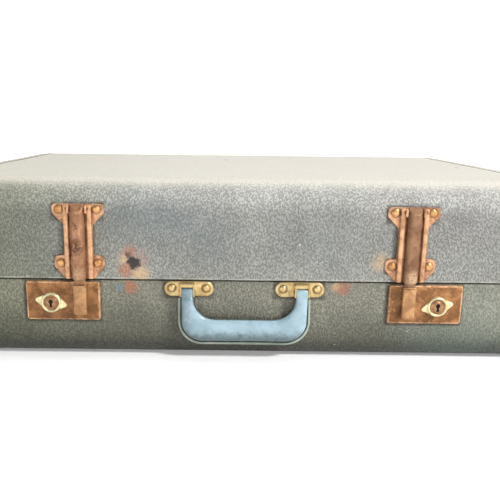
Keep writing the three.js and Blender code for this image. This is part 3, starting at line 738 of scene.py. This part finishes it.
def plan_ring(draw_in, z, steps=14):
    """The case's outline in plan, drawn in by an amount, at a height."""
    radius = CORNER - draw_in
    ring = []
    for corner, (side_x, side_y) in enumerate(((1, 1), (-1, 1), (-1, -1), (1, -1))):
        centre = Vector((side_x * (HALF_X - CORNER), MIDDLE_Y + side_y * (HALF_Y - CORNER), z))
        for step in range(steps + 1):
            angle = (corner + step / steps) * math.pi / 2
            ring.append(centre + Vector((math.cos(angle), math.sin(angle), 0)) * radius)
    return ring


def tray_profile(draw_in, edge, closed_z, open_z, steps=12):
    """(inset, z) from the open rim to the closed face, round the edge between them."""
    up = 1 if open_z > closed_z else -1
    radius = edge - draw_in
    profile = [(draw_in, open_z)]
    for step in range(steps + 1):
        angle = step / steps * math.pi / 2
        along = draw_in + radius * (1 - math.cos(angle))
        profile.append((along, closed_z + up * radius * (1 - math.sin(angle))))
    return profile


def rolled_rim(open_z, up, bead):
    """The shell's rim, from inside to outside: the covering turns over it in a small bead."""
    return [
        (WALL, open_z - up * 3 * MM), (WALL * 0.8, open_z - up * 0.5 * MM), (WALL * 0.5, open_z),
        (0.9 * MM, open_z), (0.1 * MM - bead, open_z - up * 0.5 * MM),
        (-bead, open_z - up * 1.2 * MM), (-bead * 0.3, open_z - up * 2.2 * MM),
        (0, open_z - up * 3 * MM),
    ]


def shell_solid(edge, closed_z, open_z, bead):
    """A whole tray of covered board: inner face and wall, rolled rim, outer wall and face."""
    up = 1 if open_z > closed_z else -1
    inner = tray_profile(WALL, edge, closed_z + up * WALL, open_z - up * 6 * MM)
    outer = tray_profile(0, edge, closed_z, open_z - up * 6 * MM)
    profile = inner[::-1] + rolled_rim(open_z, up, bead) + outer
    return loft([plan_ring(amount, z) for amount, z in profile])


def slice_mesh(work, direction, stations):
    for station in stations:
        geometry = work.verts[:] + work.edges[:] + work.faces[:]
        bmesh.ops.bisect_plane(work, geom=geometry, plane_co=direction * station, plane_no=direction)


def keep_side(work, x, sign):
    """Cuts everything beyond x away and closes the cut."""
    geometry = work.verts[:] + work.edges[:] + work.faces[:]
    result = bmesh.ops.bisect_plane(
        work, geom=geometry, plane_co=(x, 0, 0), plane_no=(sign, 0, 0), clear_outer=True)
    edges = [e for e in result["geom_cut"] if isinstance(e, bmesh.types.BMEdge)]
    bmesh.ops.contextual_create(work, geom=edges)


def age_shell(work, closed_z, amount):
    """Slight warping of old board, and the seams where panel and caps meet rolled inwards."""
    middle_z = closed_z * 0.6 + SEAM_Z * 0.4
    for vertex in work.verts:
        place = vertex.co
        wave = noise.noise(place * 7.0) * amount + noise.noise(place * 19.0) * amount * 0.35
        fade = min(1.0, abs(place.z - SEAM_Z) / (20 * MM)) * min(1.0, abs(place.z) / (8 * MM))
        inward = Vector((0, MIDDLE_Y, middle_z)) - place
        inward.x = 0 if abs(place.x) < SEAM_X else inward.x * 0.2
        distance = abs(abs(place.x) - SEAM_X)
        roll = max(0.0, 1 - distance / (2.2 * MM)) ** 2 * 1.1 * MM
        direction = inward.normalized()
        vertex.co = place + direction * (roll + max(-1.0, min(1.0, wave)) * fade)


def shell_pieces(name, body, solid, closed_z, material):
    """The wrapped panel and the two end caps, cut from one tray a hair apart at the seams."""
    whole = filled([solid])
    near = [SEAM_X + side * step * MM for side in (-1, 1) for step in (0.45, 1.0, 1.7, 2.6)]
    across = [step * 24 * MM for step in range(-13, 14)] + near + [-x for x in near]
    slice_mesh(whole, Vector((1, 0, 0)), across)
    slice_mesh(whole, Vector((0, 1, 0)), [step * 24 * MM for step in range(-8, 9)])
    slice_mesh(whole, Vector((0, 0, 1)), [step * 12 * MM for step in range(1, 15)])
    age_shell(whole, closed_z, 0.5 * MM)
    gap = 0.35 * MM
    cuts = {
        f"{name}_panel": [(SEAM_X - gap, 1), (gap - SEAM_X, -1)],
        f"{name}_end_left": [(-SEAM_X - gap, 1)],
        f"{name}_end_right": [(SEAM_X + gap, -1)],
    }
    pieces = {}
    for node, planes in cuts.items():
        work = whole.copy()
        for x, sign in planes:
            keep_side(work, x, sign)
        bmesh.ops.recalc_face_normals(work, faces=work.faces)
        piece = settled(work, node, f"{node}_skin", 40)
        pieces[node] = dress(piece, body, material, "grained_cover", node)
    whole.free()
    return pieces


def cutter(low, high):
    """A plain box to carve with; it is used up by the cut."""
    return build("cutter", [block(low, high, 0.2 * MM)])


def open_lock_windows(panel):
    """The recess behind each lock plate, and the staple's way up out of it."""
    for hand, side in SIDES.items():
        low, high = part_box(f"lock_case_{hand}")
        ease = Vector((0.3, 0, 0.3)) * MM
        deep = Vector((0, 8, 0)) * MM
        carve(panel, cutter(low - ease - deep, high + ease + deep))
        x = side * LATCH_X
        carve(panel, cutter((x - 4.3 * MM, FRONT - 3 * MM, low.z + 5 * MM),
                            (x + 4.3 * MM, FRONT + WALL + 0.2 * MM, SEAM_Z + 4 * MM)))


def shells():
    lid = shell_solid(LID_EDGE, TOP_Z, LID_LOW.z, 0.35 * MM)
    shell_pieces("lid", "lid", lid, TOP_Z, LID_COVER)
    base = shell_solid(BASE_EDGE, 0.0, BASE_HIGH.z, 0.1 * MM)
    pieces = shell_pieces("base", "base", base, 0.0, BASE_COVER)
    open_lock_windows(pieces["base_panel"])


def hoop(name, body, node):
    """A rim frame with eased edges, all the way round inside the wall."""
    low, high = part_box(node)
    outer = HALF_X - high.x
    thick, ease = 3.7 * MM, 0.6 * MM
    shoulder = BASE_HIGH.z
    step = 0.6 * MM if node == "base_rim" else 0
    crest = outer + step
    profile = [(outer + ease, low.z), (outer, low.z + ease)]
    if step:
        profile += [(outer, shoulder - ease), (crest, shoulder)]
    profile += [(crest, high.z - ease), (crest + ease, high.z),
                (outer + thick - ease, high.z), (outer + thick, high.z - ease),
                (outer + thick, low.z + ease), (outer + thick - ease, low.z)]
    rings = [plan_ring(amount, z) for amount, z in profile]
    dress(build(name, [loft(rings, True)]), body, BOARD, "rim_board", node)


def lining(name, body, node, edge, closed_z, open_z):
    """Glued cloth lining, slightly slack over the board and turned in at its edge."""
    up = 1 if open_z > closed_z else -1
    outside, inside = WALL + 0.3 * MM, WALL + 1.4 * MM
    outer = tray_profile(outside, edge, closed_z + up * outside, open_z)
    inner = tray_profile(inside, edge, closed_z + up * inside, open_z)
    piece = build(name, [loft([plan_ring(a, z) for a, z in outer[::-1] + inner])])
    work = bmesh.new()
    work.from_mesh(piece.data)
    slice_mesh(work, Vector((1, 0, 0)), [step * 15 * MM for step in range(-21, 22)])
    slice_mesh(work, Vector((0, 1, 0)), [step * 15 * MM for step in range(-13, 14)])
    centre = Vector((0, MIDDLE_Y, SEAM_Z))
    for vertex in work.verts:
        slack = max(0.0, noise.noise(vertex.co * 12.0) * 0.6 + noise.noise(vertex.co * 33.0) * 0.3)
        vertex.co = vertex.co + (centre - vertex.co).normalized() * slack * MM
    work.to_mesh(piece.data)
    work.free()
    piece.data.shade_smooth()
    dress(piece, body, LINING, "lining_cloth", node)
    return piece


def insides():
    hoop("base_rim_frame", "base", "base_rim")
    hoop("lid_rim_frame", "lid", "lid_rim")
    base_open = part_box("base_lining")[1].z
    cloth = lining("base_lining_cloth", "base", "base_lining", BASE_EDGE, 0.0, base_open)
    for hand in SIDES:
        low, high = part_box(f"lock_case_{hand}")
        ease = Vector((0.3, 8, 0.3)) * MM
        carve(cloth, cutter(low - ease, high + ease))
    lid_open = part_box("lid_lining")[0].z
    lining("lid_lining_cloth", "lid", "lid_lining", LID_EDGE, TOP_Z, lid_open)


# ---- latches ------------------------------------------------------------------------------


def mirrored(outline_half, x):
    """A symmetrical outline about x from its right-hand corners, bottom to top."""
    right = [(x + dx, z, radius) for dx, z, radius in outline_half]
    left = [(x - dx, z, radius) for dx, z, radius in reversed(outline_half)]
    return rounded(right + left)


def arch(steps, fullness):
    """(across, up) over a half circle from 1 to -1; a fullness below 1 squares its shoulders."""
    for step in range(steps + 1):
        angle = math.pi * step / steps
        across = abs(math.cos(angle)) ** fullness * math.copysign(1, math.cos(angle))
        yield across, math.sin(angle) ** fullness if 0 < step < steps else 0


def half_round(x, half, back, proud, stations, fullness, limit=None, steps=24):
    """A rounded bar along Z on y = back; stations are (z, scale), fullness below 1 squares it.

    limit(z) is how far the bar may stand out there, for a face struck off at a slant."""
    rings = []
    for z, scale in stations:
        ring = []
        for across, up in arch(steps, fullness):
            rise = proud * scale * up
            if limit:
                rise = min(rise, limit(z))
            ring.append(Vector((x + half * scale * across, back - rise, z)))
        ring.append(Vector((x - half * scale * 0.5, back, z)))
        ring.append(Vector((x + half * scale * 0.5, back, z)))
        rings.append(ring)
    return loft(rings)


def softened(low, high, taper, between=()):
    """Stations along a bar whose two ends round over."""
    lower = [(low, 0.72), (low + taper * 0.35, 0.93), (low + taper, 1.0)]
    upper = [(high - taper, 1.0), (high - taper * 0.35, 0.93), (high, 0.72)]
    return lower + [(z, 1.0) for z in between] + upper


def latch_frame(hand, side):
    """The pressed plate on the lid: four ears and two folded ribs that the lever lies between."""
    low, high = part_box(f"latch_frame_{hand}")
    x = side * LATCH_X
    ear = (high.x - low.x) / 2
    bottom, top = low.z, high.z
    half = [
        (13.8 * MM, bottom, 1 * MM), (ear - 0.5 * MM, bottom + 12 * MM, 4 * MM),
        (ear - 0.5 * MM, bottom + 22 * MM, 4.5 * MM), (13.6 * MM, bottom + 23.5 * MM, 2 * MM),
        (13.6 * MM, top - 20 * MM, 4 * MM), (ear, top - 9 * MM, 4.5 * MM), (ear, top, 3.5 * MM),
    ]
    parts = [relief(mirrored(half, x), high.y, [(0, 0), (0, 0.5 * MM), (0.5 * MM, 1 * MM)])]
    for hand_side in (-1, 1):
        rib_x = x + hand_side * 10.9 * MM
        ends = softened(bottom + 0.6 * MM, top - 0.8 * MM, 1.2 * MM)
        parts.append(half_round(rib_x, 2.7 * MM, high.y - 0.6 * MM, 4.2 * MM, ends, 0.62))
        parts.append(block((x + hand_side * 7.3 * MM, low.y, top - 8.3 * MM),
                           (x + hand_side * 9.4 * MM, high.y, top - 1 * MM), 0.6 * MM))
    piece = build(f"latch_frame_{hand}_pressing", parts)
    dress(piece, "lid", FRAME_COPPER, "coppered_steel", f"latch_frame_{hand}")


def lever_bar(x, front, back, eye_z, foot, top):
    """The lever's half-round bar; its top is struck off to a slanting face that starts at the eye."""
    proud, start = back - front, eye_z - 2.5 * MM
    steps = [start + (top - 1.7 * MM - start) * i / 6 for i in range(7)]
    slope = 0.62 * proud / (top - start)
    return half_round(x, 6.8 * MM, back, proud, softened(foot, top, 1.6 * MM, steps), 0.78,
                      lambda z: proud - max(0.0, z - start) * slope, 36)


def hasp(hand, side):
    """The hasp: bar, neck, thumb tongue over the lock plate, and the staple behind it."""
    low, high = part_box(f"hasp_{hand}")
    x = side * LATCH_X
    eye_z = middle(f"hasp_pin_{hand}").z
    bar_low = LID_LOW.z + 0.3 * MM
    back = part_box(f"lock_plate_{hand}")[0].y - 0.3 * MM
    parts = [lever_bar(x, low.y, FRONT - 1.6 * MM, eye_z, bar_low, eye_z + 3.8 * MM)]
    parts.append(block((x - 5.3 * MM, back - 1.9 * MM, 70 * MM), (x + 5.3 * MM, back, bar_low + 2 * MM),
                       0.5 * MM))
    parts.append(block((x - 1.5 * MM, back - 0.5 * MM, 51.5 * MM), (x + 1.5 * MM, high.y, 61.5 * MM),
                       0.3 * MM))
    bar = build(f"hasp_{hand}_lever", parts, 30)
    dress(bar, f"hasp_{hand}", LEVER_COPPER, "coppered_steel", f"hasp_{hand}")

    half, pad_top = 6.25 * MM, 75.5 * MM
    outline = rounded([
        (x - half, low.z + 1.2 * MM, 1.6 * MM), (x, low.z - 0.4 * MM, 14 * MM),
        (x + half, low.z + 1.2 * MM, 1.6 * MM), (x + half, pad_top, 0.8 * MM),
        (x - half, pad_top, 0.8 * MM),
    ])
    levels = [(0.4 * MM, 0), (0, 0.4 * MM), (0, 2.6 * MM)] + crown(1.5 * MM, 1.4 * MM, 4, 2.6 * MM)[1:]
    pad = build(f"hasp_{hand}_tongue", [relief(outline, back, levels)], 30)
    dress(pad, f"hasp_{hand}", TONGUE_COPPER, "coppered_steel")


def rivets():
    """Domed rivets on frames and brackets, each with a thin brim."""
    for node in sorted(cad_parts):
        if "rivet" not in node:
            continue
        low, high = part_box(node)
        centre = (low + high) / 2
        seat = low.y + 1.9 * MM
        radius = (high.x - low.x) / 2
        profile = [(0.01 * MM, seat - high.y), (1.3 * MM, seat - high.y), (1.3 * MM, 0), (radius, 0),
                   (radius, 0.3 * MM), (radius * 0.86, 0.6 * MM)]
        for step in range(1, 8):
            angle = step / 8 * math.pi / 2
            profile.append((radius * 0.86 * math.cos(angle), 0.6 * MM + 1.3 * MM * math.sin(angle)))
        profile.append((0.01 * MM, 1.9 * MM))
        piece = build(f"{node}_head", [turned(profile, (centre.x, seat, centre.z), (0, -1, 0), 32)])
        body = "base" if node.startswith("bracket") else "lid"
        dress(piece, body, BRASS if body == "base" else RIVET_BRASS, "brass_plate", node)


# ---- locks --------------------------------------------------------------------------------


def lock_plate(hand, side):
    """A pressed cover with sloping edges, slotted for the button and for the staple."""
    low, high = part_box(f"lock_plate_{hand}")
    outline = rectangle(low, high, 3 * MM)
    depth = high.y - low.y
    levels = [(0, 0), (0, 0.5 * MM), (0.7 * MM, depth - 0.35 * MM), (1.6 * MM, depth)]
    piece = build(f"lock_plate_{hand}_cover", [relief(outline, high.y, levels)], 25)
    slot_z = middle(f"key_plug_{hand}").z
    x = side * LOCK_X
    for near, far, half in ((-4.4, 8.5, 2.9), (8.0, 19.8, 1.25)):
        carve(piece, cutter((x + side * near * MM, low.y - 2 * MM, slot_z - half * MM),
                            (x + side * far * MM, FRONT, slot_z + half * MM)))
    x = side * LATCH_X
    carve(piece, cutter((x - 4.3 * MM, low.y - 2 * MM, 50 * MM), (x + 4.3 * MM, FRONT, high.z + 3 * MM)))
    dress(piece, "base", COPPER, "coppered_steel", f"lock_plate_{hand}")


def wing(x, z, reach, side, tilt, back):
    """One finger lug: a blunt wedge from the ring out to its tip, along a tilted line."""
    corners = [(8.2, -5.8, 0.6), (12.2, -3.2, 1.4), (reach, -1.3, 1.0), (reach, 1.3, 1.0),
               (12.2, 3.2, 1.4), (8.2, 5.8, 0.6)]
    angle = math.radians(tilt)
    placed = []
    for u, v, radius in corners:
        dx = (u * math.cos(angle) - v * math.sin(angle)) * MM
        dz = (u * math.sin(angle) + v * math.cos(angle)) * MM
        placed.append((x + side * dx, z + dz, radius * MM))
    if side < 0:
        placed.reverse()
    levels = [(0, 0), (0, 1.0 * MM)] + crown(0.9 * MM, 1.1 * MM, 3, 1.0 * MM)[1:]
    return relief(rounded(placed, 4), back, levels)


def slide_button(hand, side):
    """The round lock button: a ring with two finger lugs, and the carriage that it moves inside."""
    node = f"slide_button_{hand}"
    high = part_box(node)[1]
    plug = middle(f"key_plug_{hand}")
    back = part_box(f"lock_plate_{hand}")[0].y - 0.3 * MM
    profile = [(2.6, 0), (9.9, 0), (9.9, 1.6), (9.6, 2.5), (9.1, 3.1), (8.6, 3.3), (8.0, 3.1),
               (7.4, 2.6), (7.2, 2.2), (7.2, 1.0), (2.6, 1.0)]
    ring = turned(in_mm(profile), (plug.x, back, plug.z), (0, -1, 0), 48, True)
    parts = [ring, wing(plug.x, plug.z, 15.3, side, 12, back), wing(plug.x, plug.z, 15.3, -side, -12, back)]
    parts.append(block((side * (LATCH_X + 31.2 * MM), back - 0.6 * MM, plug.z - 1.0 * MM),
                       (side * (LATCH_X + 36.7 * MM), high.y - 0.3 * MM, plug.z + 1.0 * MM), 0.3 * MM))
    piece = build(f"slide_button_{hand}_ring", parts, 30)
    dress(piece, f"slide_{hand}", PALE_BRASS, "brass_plate", node)


def key_plug(hand):
    """The plug in the ring, slightly domed, with a keyhole sunk in it and a cam behind."""
    node = f"key_plug_{hand}"
    low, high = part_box(node)
    x, z = middle(node).x, high.z - 7.6 * MM
    back = low.y + 2.1 * MM
    tail = (back - high.y) / MM
    profile = [(0.01, tail), (2.2, tail), (2.2, 0), (7.0, 0), (7.0, 1.2), (6.7, 1.6), (6.1, 1.7),
               (5.8, 1.35), (5.4, 1.35), (5.0, 1.75), (4.0, 2.0), (2.0, 2.1), (0.01, 2.1)]
    piece = build(f"key_plug_{hand}_face", [turned(in_mm(profile), (x, back, z), (0, -1, 0), 48)], 30)
    dress(piece, f"key_{hand}", PLUG_BRASS, "brass_plate", node)
    deep = low.y + 1.7 * MM
    keyhole = []
    for step in range(13):
        angle = math.radians(-60 + 300 * step / 12)
        keyhole.append(Vector((x + 2.2 * MM * math.cos(angle), z + (1.2 + 2.2 * math.sin(angle)) * MM)))
    keyhole += [Vector((x - 1.3 * MM, z - 4.4 * MM)), Vector((x + 1.3 * MM, z - 4.4 * MM))]
    # The keyhole's cut faces take the near-black painted shade.
    carve(piece, build("keyhole", [relief(keyhole, deep, [(0, 0), (0, 3.5 * MM)])]), HOLLOW)


# ---- handle -------------------------------------------------------------------------------


def spread(path, count):
    """Points evenly spaced along a polyline."""
    lengths = [0.0]
    for before, after in zip(path, path[1:]):
        lengths.append(lengths[-1] + (after - before).length)
    points = []
    leg = 0
    for step in range(count):
        reach = lengths[-1] * step / (count - 1)
        while leg < len(path) - 2 and lengths[leg + 1] < reach:
            leg += 1
        share = (reach - lengths[leg]) / (lengths[leg + 1] - lengths[leg])
        points.append(path[leg].lerp(path[leg + 1], share))
    return points


def bend_path(out, low, radius, top):
    """The right half of one edge of the handle: along the bottom, round the bend and up the leg."""
    path = [Vector((0, low)), Vector((out - radius, low))]
    for step in range(1, 17):
        angle = math.pi / 2 * step / 16
        path.append(Vector((out - radius + radius * math.sin(angle),
                            low + radius - radius * math.cos(angle))))
    path.append(Vector((out, top)))
    return path


def smooth_step(value, low, high):
    share = max(0.0, min(1.0, (value - low) / (high - low)))
    return share * share * (3 - 2 * share)


def arched(outer, inner, back, flat, rise, fullness):
    """One section of the handle between its two edges: flat sides, then a full crown."""
    ring = [Vector((outer.x, back, outer.y))]
    for across, up in arch(20, fullness):
        place = outer.lerp(inner, (1 - across) / 2)
        ring.append(Vector((place.x, back - flat - rise * up, place.y)))
    ring.append(Vector((inner.x, back, inner.y)))
    return ring


def mirror_halves(rings):
    """Continues the right half's sections, which start in the middle, with their mirror images."""
    flipped = [[Vector((-p.x, p.y, p.z)) for p in ring] for ring in rings[:0:-1]]
    return flipped + rings


def handle():
    """The glossy front moulding with its tabs, and the paler back shell that shows as a flange."""
    low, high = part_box("handle_grip")
    pin = middle("handle_pin_right")
    half_tab, leg_top, tab_top = 5.3 * MM, high.z - 3 * MM, pin.z - 2 * MM
    inner_x, inner_low = pin.x - half_tab, low.z + 21.2 * MM
    outers = spread(bend_path(pin.x + half_tab, low.z, 19.5 * MM, tab_top), 52)
    inners = spread(bend_path(inner_x, inner_low, 22 * MM, tab_top), 52)
    rings = []
    for outer, inner in zip(outers, inners):
        tab = smooth_step(outer.y, leg_top - 8 * MM, leg_top + 5 * MM)
        back = high.y + 2.0 * MM * smooth_step(outer.y, leg_top + 2.5 * MM, leg_top + 5.5 * MM)
        flat = 0.5 * MM + 2.4 * MM * tab
        rings.append(arched(outer, inner, back, flat, (5.2 - 3.0 * tab) * MM, 0.8))
    parts = [loft(mirror_halves(rings))]
    parts += [barrel(side * pin.x, pin, 3.4 * MM, half_tab) for side in SIDES.values()]
    piece = build("handle_front_moulding", parts, 50)
    dress(piece, "handle", HANDLE_PLASTIC, "handle_front_plastic", "handle_grip")

    low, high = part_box("handle_back")
    bottom, top = low.z - 1.2 * MM, leg_top + 4.5 * MM
    outers = spread(bend_path(high.x, bottom, 23 * MM, top), 44)
    inners = spread(bend_path(inner_x + 1 * MM, inner_low - 1 * MM, 19 * MM, top), 44)
    rings = [lipped(outer, inner, high.y) for outer, inner in zip(outers, inners)]
    parts = [loft(mirror_halves(rings))]
    parts += [barrel(side * pin.x, pin, 2.9 * MM, 4.0 * MM) for side in SIDES.values()]
    shell = build("handle_back_shell", parts, 35)
    dress(shell, "handle", SHELL_PLASTIC, "handle_shell_plastic", "handle_back")


def lipped(outer, inner, back):
    """One section of the back shell: a rounded lip outside, and a sunk bed for the front moulding."""
    along = (inner - outer).normalized()
    width = (inner - outer).length
    profile = [(0, 0), (0, 1.6), (0.35, 2.5), (1.2, 2.9), (2.4, 2.7), (2.8, 1.4), (3.2, 1.1)]
    placed = in_mm(profile) + [(width - 0.6 * MM, 1.1 * MM), (width, 0.6 * MM), (width, 0)]
    return [
        Vector((outer.x + along.x * reach, back - height, outer.y + along.y * reach))
        for reach, height in placed
    ]


def barrel(x, pin, radius, half):
    """The end of one tab, rolled round the pin that it swings on."""
    outline = []
    for step in range(17):
        angle = math.pi * step / 16
        outline.append((pin.y + radius * math.cos(angle), pin.z + radius * math.sin(angle)))
    outline += [(pin.y - radius, pin.z - 4 * MM), (pin.y - radius * 0.7, pin.z - 7 * MM),
                (pin.y + radius * 0.6, pin.z - 7 * MM)]
    rings = []
    for dx, scale in ((-half, 0.9), (-half + 0.5 * MM, 1.0), (half - 0.5 * MM, 1.0), (half, 0.9)):
        rings.append([
            Vector((x + dx, pin.y + (y - pin.y) * scale, pin.z + (z - pin.z) * scale)) for y, z in outline
        ])
    return loft(rings)


def handle_bracket(hand):
    """A pressed stadium plate whose raised middle bridges over the handle's tab."""
    node = f"handle_bracket_{hand}"
    low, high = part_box(node)
    radius = (high.z - low.z) / 2 - 0.05 * MM
    outline = rectangle(low, high, radius, 12)
    parts = [relief(outline, high.y, [(0, 0), (0, 0.6 * MM), (0.6 * MM, 1.1 * MM)])]
    pin = middle(f"handle_pin_{hand}")
    x, cheek_low, roof_low = pin.x, low.z + 1.3 * MM, pin.z + 3.9 * MM
    for hand_side in (-1, 1):
        parts.append(block((x + hand_side * 5.4 * MM, low.y, cheek_low),
                           (x + hand_side * 7.2 * MM, high.y, high.z - 0.5 * MM), 0.7 * MM))
    parts.append(block((x - 7.1 * MM, low.y + 0.6 * MM, roof_low), (x + 7.1 * MM, high.y, high.z - 0.4 * MM),
                       0.8 * MM))
    dress(build(f"{node}_pressing", parts, 40), "base", BRASS, "brass_plate", node)


# ---- hinges and feet ----------------------------------------------------------------------


def hinge_leaf(node, body, up, knuckles):
    """A leaf on the rear wall with two rivets and its share of the knuckles."""
    low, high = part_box(node)
    pin = middle(node.replace("base_leaf", "pin").replace("lid_leaf", "pin"))
    edge_near, edge_far = sorted((pin.z + up * 3.7 * MM, low.z if up < 0 else high.z))
    thick = 1.2 * MM
    outline = rounded([
        (low.x if up < 0 else pin.x - 30 * MM, edge_near, 2 * MM), (pin.x + 30 * MM, edge_near, 2 * MM),
        (pin.x + 30 * MM, edge_far, 2 * MM), (pin.x - 30 * MM, edge_far, 2 * MM),
    ])
    back = REAR_SEAT
    parts = [relief(outline, back, [(0, 0), (0, 0.8 * MM), (0.4 * MM, thick)], 1)]
    for start, end in knuckles:
        profile = [(1.8, start), (2.9, start), (3.2, start + 0.3), (3.2, end - 0.3), (2.9, end), (1.8, end)]
        parts.append(turned(in_mm(profile), pin, (1, 0, 0), 32, True))
        parts.append(block((pin.x + start * MM, back, pin.z),
                           (pin.x + end * MM, back + thick, pin.z + up * 4.7 * MM), 0.2 * MM))
    for dx in (-20 * MM, 20 * MM):
        head = [(0.01, -0.6), (1.2, -0.6), (1.2, 0), (3, 0), (2.8, 0.5), (2.1, 1.0), (1.1, 1.3), (0.01, 1.4)]
        parts.append(turned(in_mm(head), (pin.x + dx, back + thick, pin.z + up * 18 * MM), (0, 1, 0), 24))
    dress(build(f"{node}_plate", parts, 30), body, STEEL, "plain_steel", node)


def hinges_and_feet():
    for hand in SIDES:
        hinge_leaf(f"hinge_base_leaf_{hand}", "base", -1, [(-30, -12), (12, 30)])
        hinge_leaf(f"hinge_lid_leaf_{hand}", "lid", 1, [(-11.6, 11.6)])
        for body in ("base", "lid"):
            node = f"{body}_foot_{hand}"
            low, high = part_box(node)
            centre = (low + high) / 2
            seat = REAR_SEAT
            profile = [(0.01, (low.y - seat) / MM), (1.3, (low.y - seat) / MM), (1.3, 0), (9, 0), (9, 0.8),
                       (8.4, 1.6)]
            for step in range(1, 9):
                angle = step / 9 * math.pi / 2
                profile.append((8.4 * math.cos(angle), 1.6 + 6.4 * math.sin(angle)))
            profile.append((0.01, 8.0))
            dome = turned(in_mm(profile), (centre.x, seat, centre.z), (0, 1, 0), 40)
            piece = build(f"{node}_dome", [dome], 30)
            dress(piece, body, STEEL, "plain_steel", node)


# ---- what stays as the frame has it ---------------------------------------------------------


def paint_hidden_nodes():
    """Pins, lock cases and springs keep their own meshes."""
    for name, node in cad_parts.items():
        if node.hide_render:
            continue
        node.data.materials.clear()
        node.data.materials.append(STEEL if name.startswith("hinge") else PIN_STEEL)


# ---- stage, light and camera ----------------------------------------------------------------


def sheet(name, corners, material):
    mesh = bpy.data.meshes.new(name)
    mesh.from_pydata([Vector(corner) for corner in corners], [], [(0, 1, 2, 3)])
    made = bpy.data.objects.new(name, mesh)
    bpy.context.scene.collection.objects.link(made)
    made.data.materials.append(material)


def stage():
    """A pale floor with white studio walls far off on all four sides."""
    far, high = 6, 2.2
    corners = [(-far, -far), (far, -far), (far, far), (-far, far)]
    sheet("floor", [(x, y, 0) for x, y in corners], floor_material())
    white = wall_material()
    for i, (x, y) in enumerate(corners):
        last_x, last_y = corners[i - 1]
        sheet(f"wall_{i}", [(last_x, last_y, 0), (x, y, 0), (x, y, high), (last_x, last_y, high)], white)


def area_light(name, size, power, place, target):
    data = bpy.data.lights.new(name, "AREA")
    data.shape = "RECTANGLE"
    data.size, data.size_y = size
    data.energy = power
    light = bpy.data.objects.new(name, data)
    light.location = place
    light.rotation_euler = (Vector(target) - Vector(place)).to_track_quat("-Z", "Y").to_euler()
    bpy.context.scene.collection.objects.link(light)


def lights():
    """A wide lamp overhead, a smaller one high on the right in front, and a little light all round."""
    scene = bpy.context.scene
    world = bpy.data.worlds.new("studio")
    world.use_nodes = True
    world.node_tree.nodes["Background"].inputs["Color"].default_value = WHITE
    world.node_tree.nodes["Background"].inputs["Strength"].default_value = 0.1
    scene.world = world
    area_light("overhead", (3.0, 2.0), 34, (0, 0.5, 2.2), (0, 0, 0.1))
    area_light("key", (0.3, 0.3), 62, (1.6, -1.4, 1.7), (0, -0.2, 0.1))
    scene.view_settings.view_transform = "Standard"


def camera():
    """Stands a little left of the middle, looking down 12 degrees, and leans by a hair."""
    data = bpy.data.cameras.new("camera")
    data.sensor_width = 36
    data.lens = 43.2
    pitch, roll = 12.37, 0.663
    data.shift_x = 0.0556
    eye = bpy.data.objects.new("camera", data)
    eye.location = (-21.75 * MM, FRONT - 554.76 * MM, 230.69 * MM)
    down = Euler((math.radians(90 - pitch), 0, 0)).to_matrix().to_euler().to_matrix()
    lean = Euler((0, 0, math.radians(roll))).to_matrix()
    eye.rotation_euler = (down @ lean).to_euler()
    bpy.context.scene.collection.objects.link(eye)
    bpy.context.scene.camera = eye


camera()
stage()
lights()
shells()
insides()
for one_hand, one_side in SIDES.items():
    latch_frame(one_hand, one_side)
    hasp(one_hand, one_side)
    lock_plate(one_hand, one_side)
    slide_button(one_hand, one_side)
    key_plug(one_hand)
    handle_bracket(one_hand)
rivets()
handle()
hinges_and_feet()
paint_hidden_nodes()
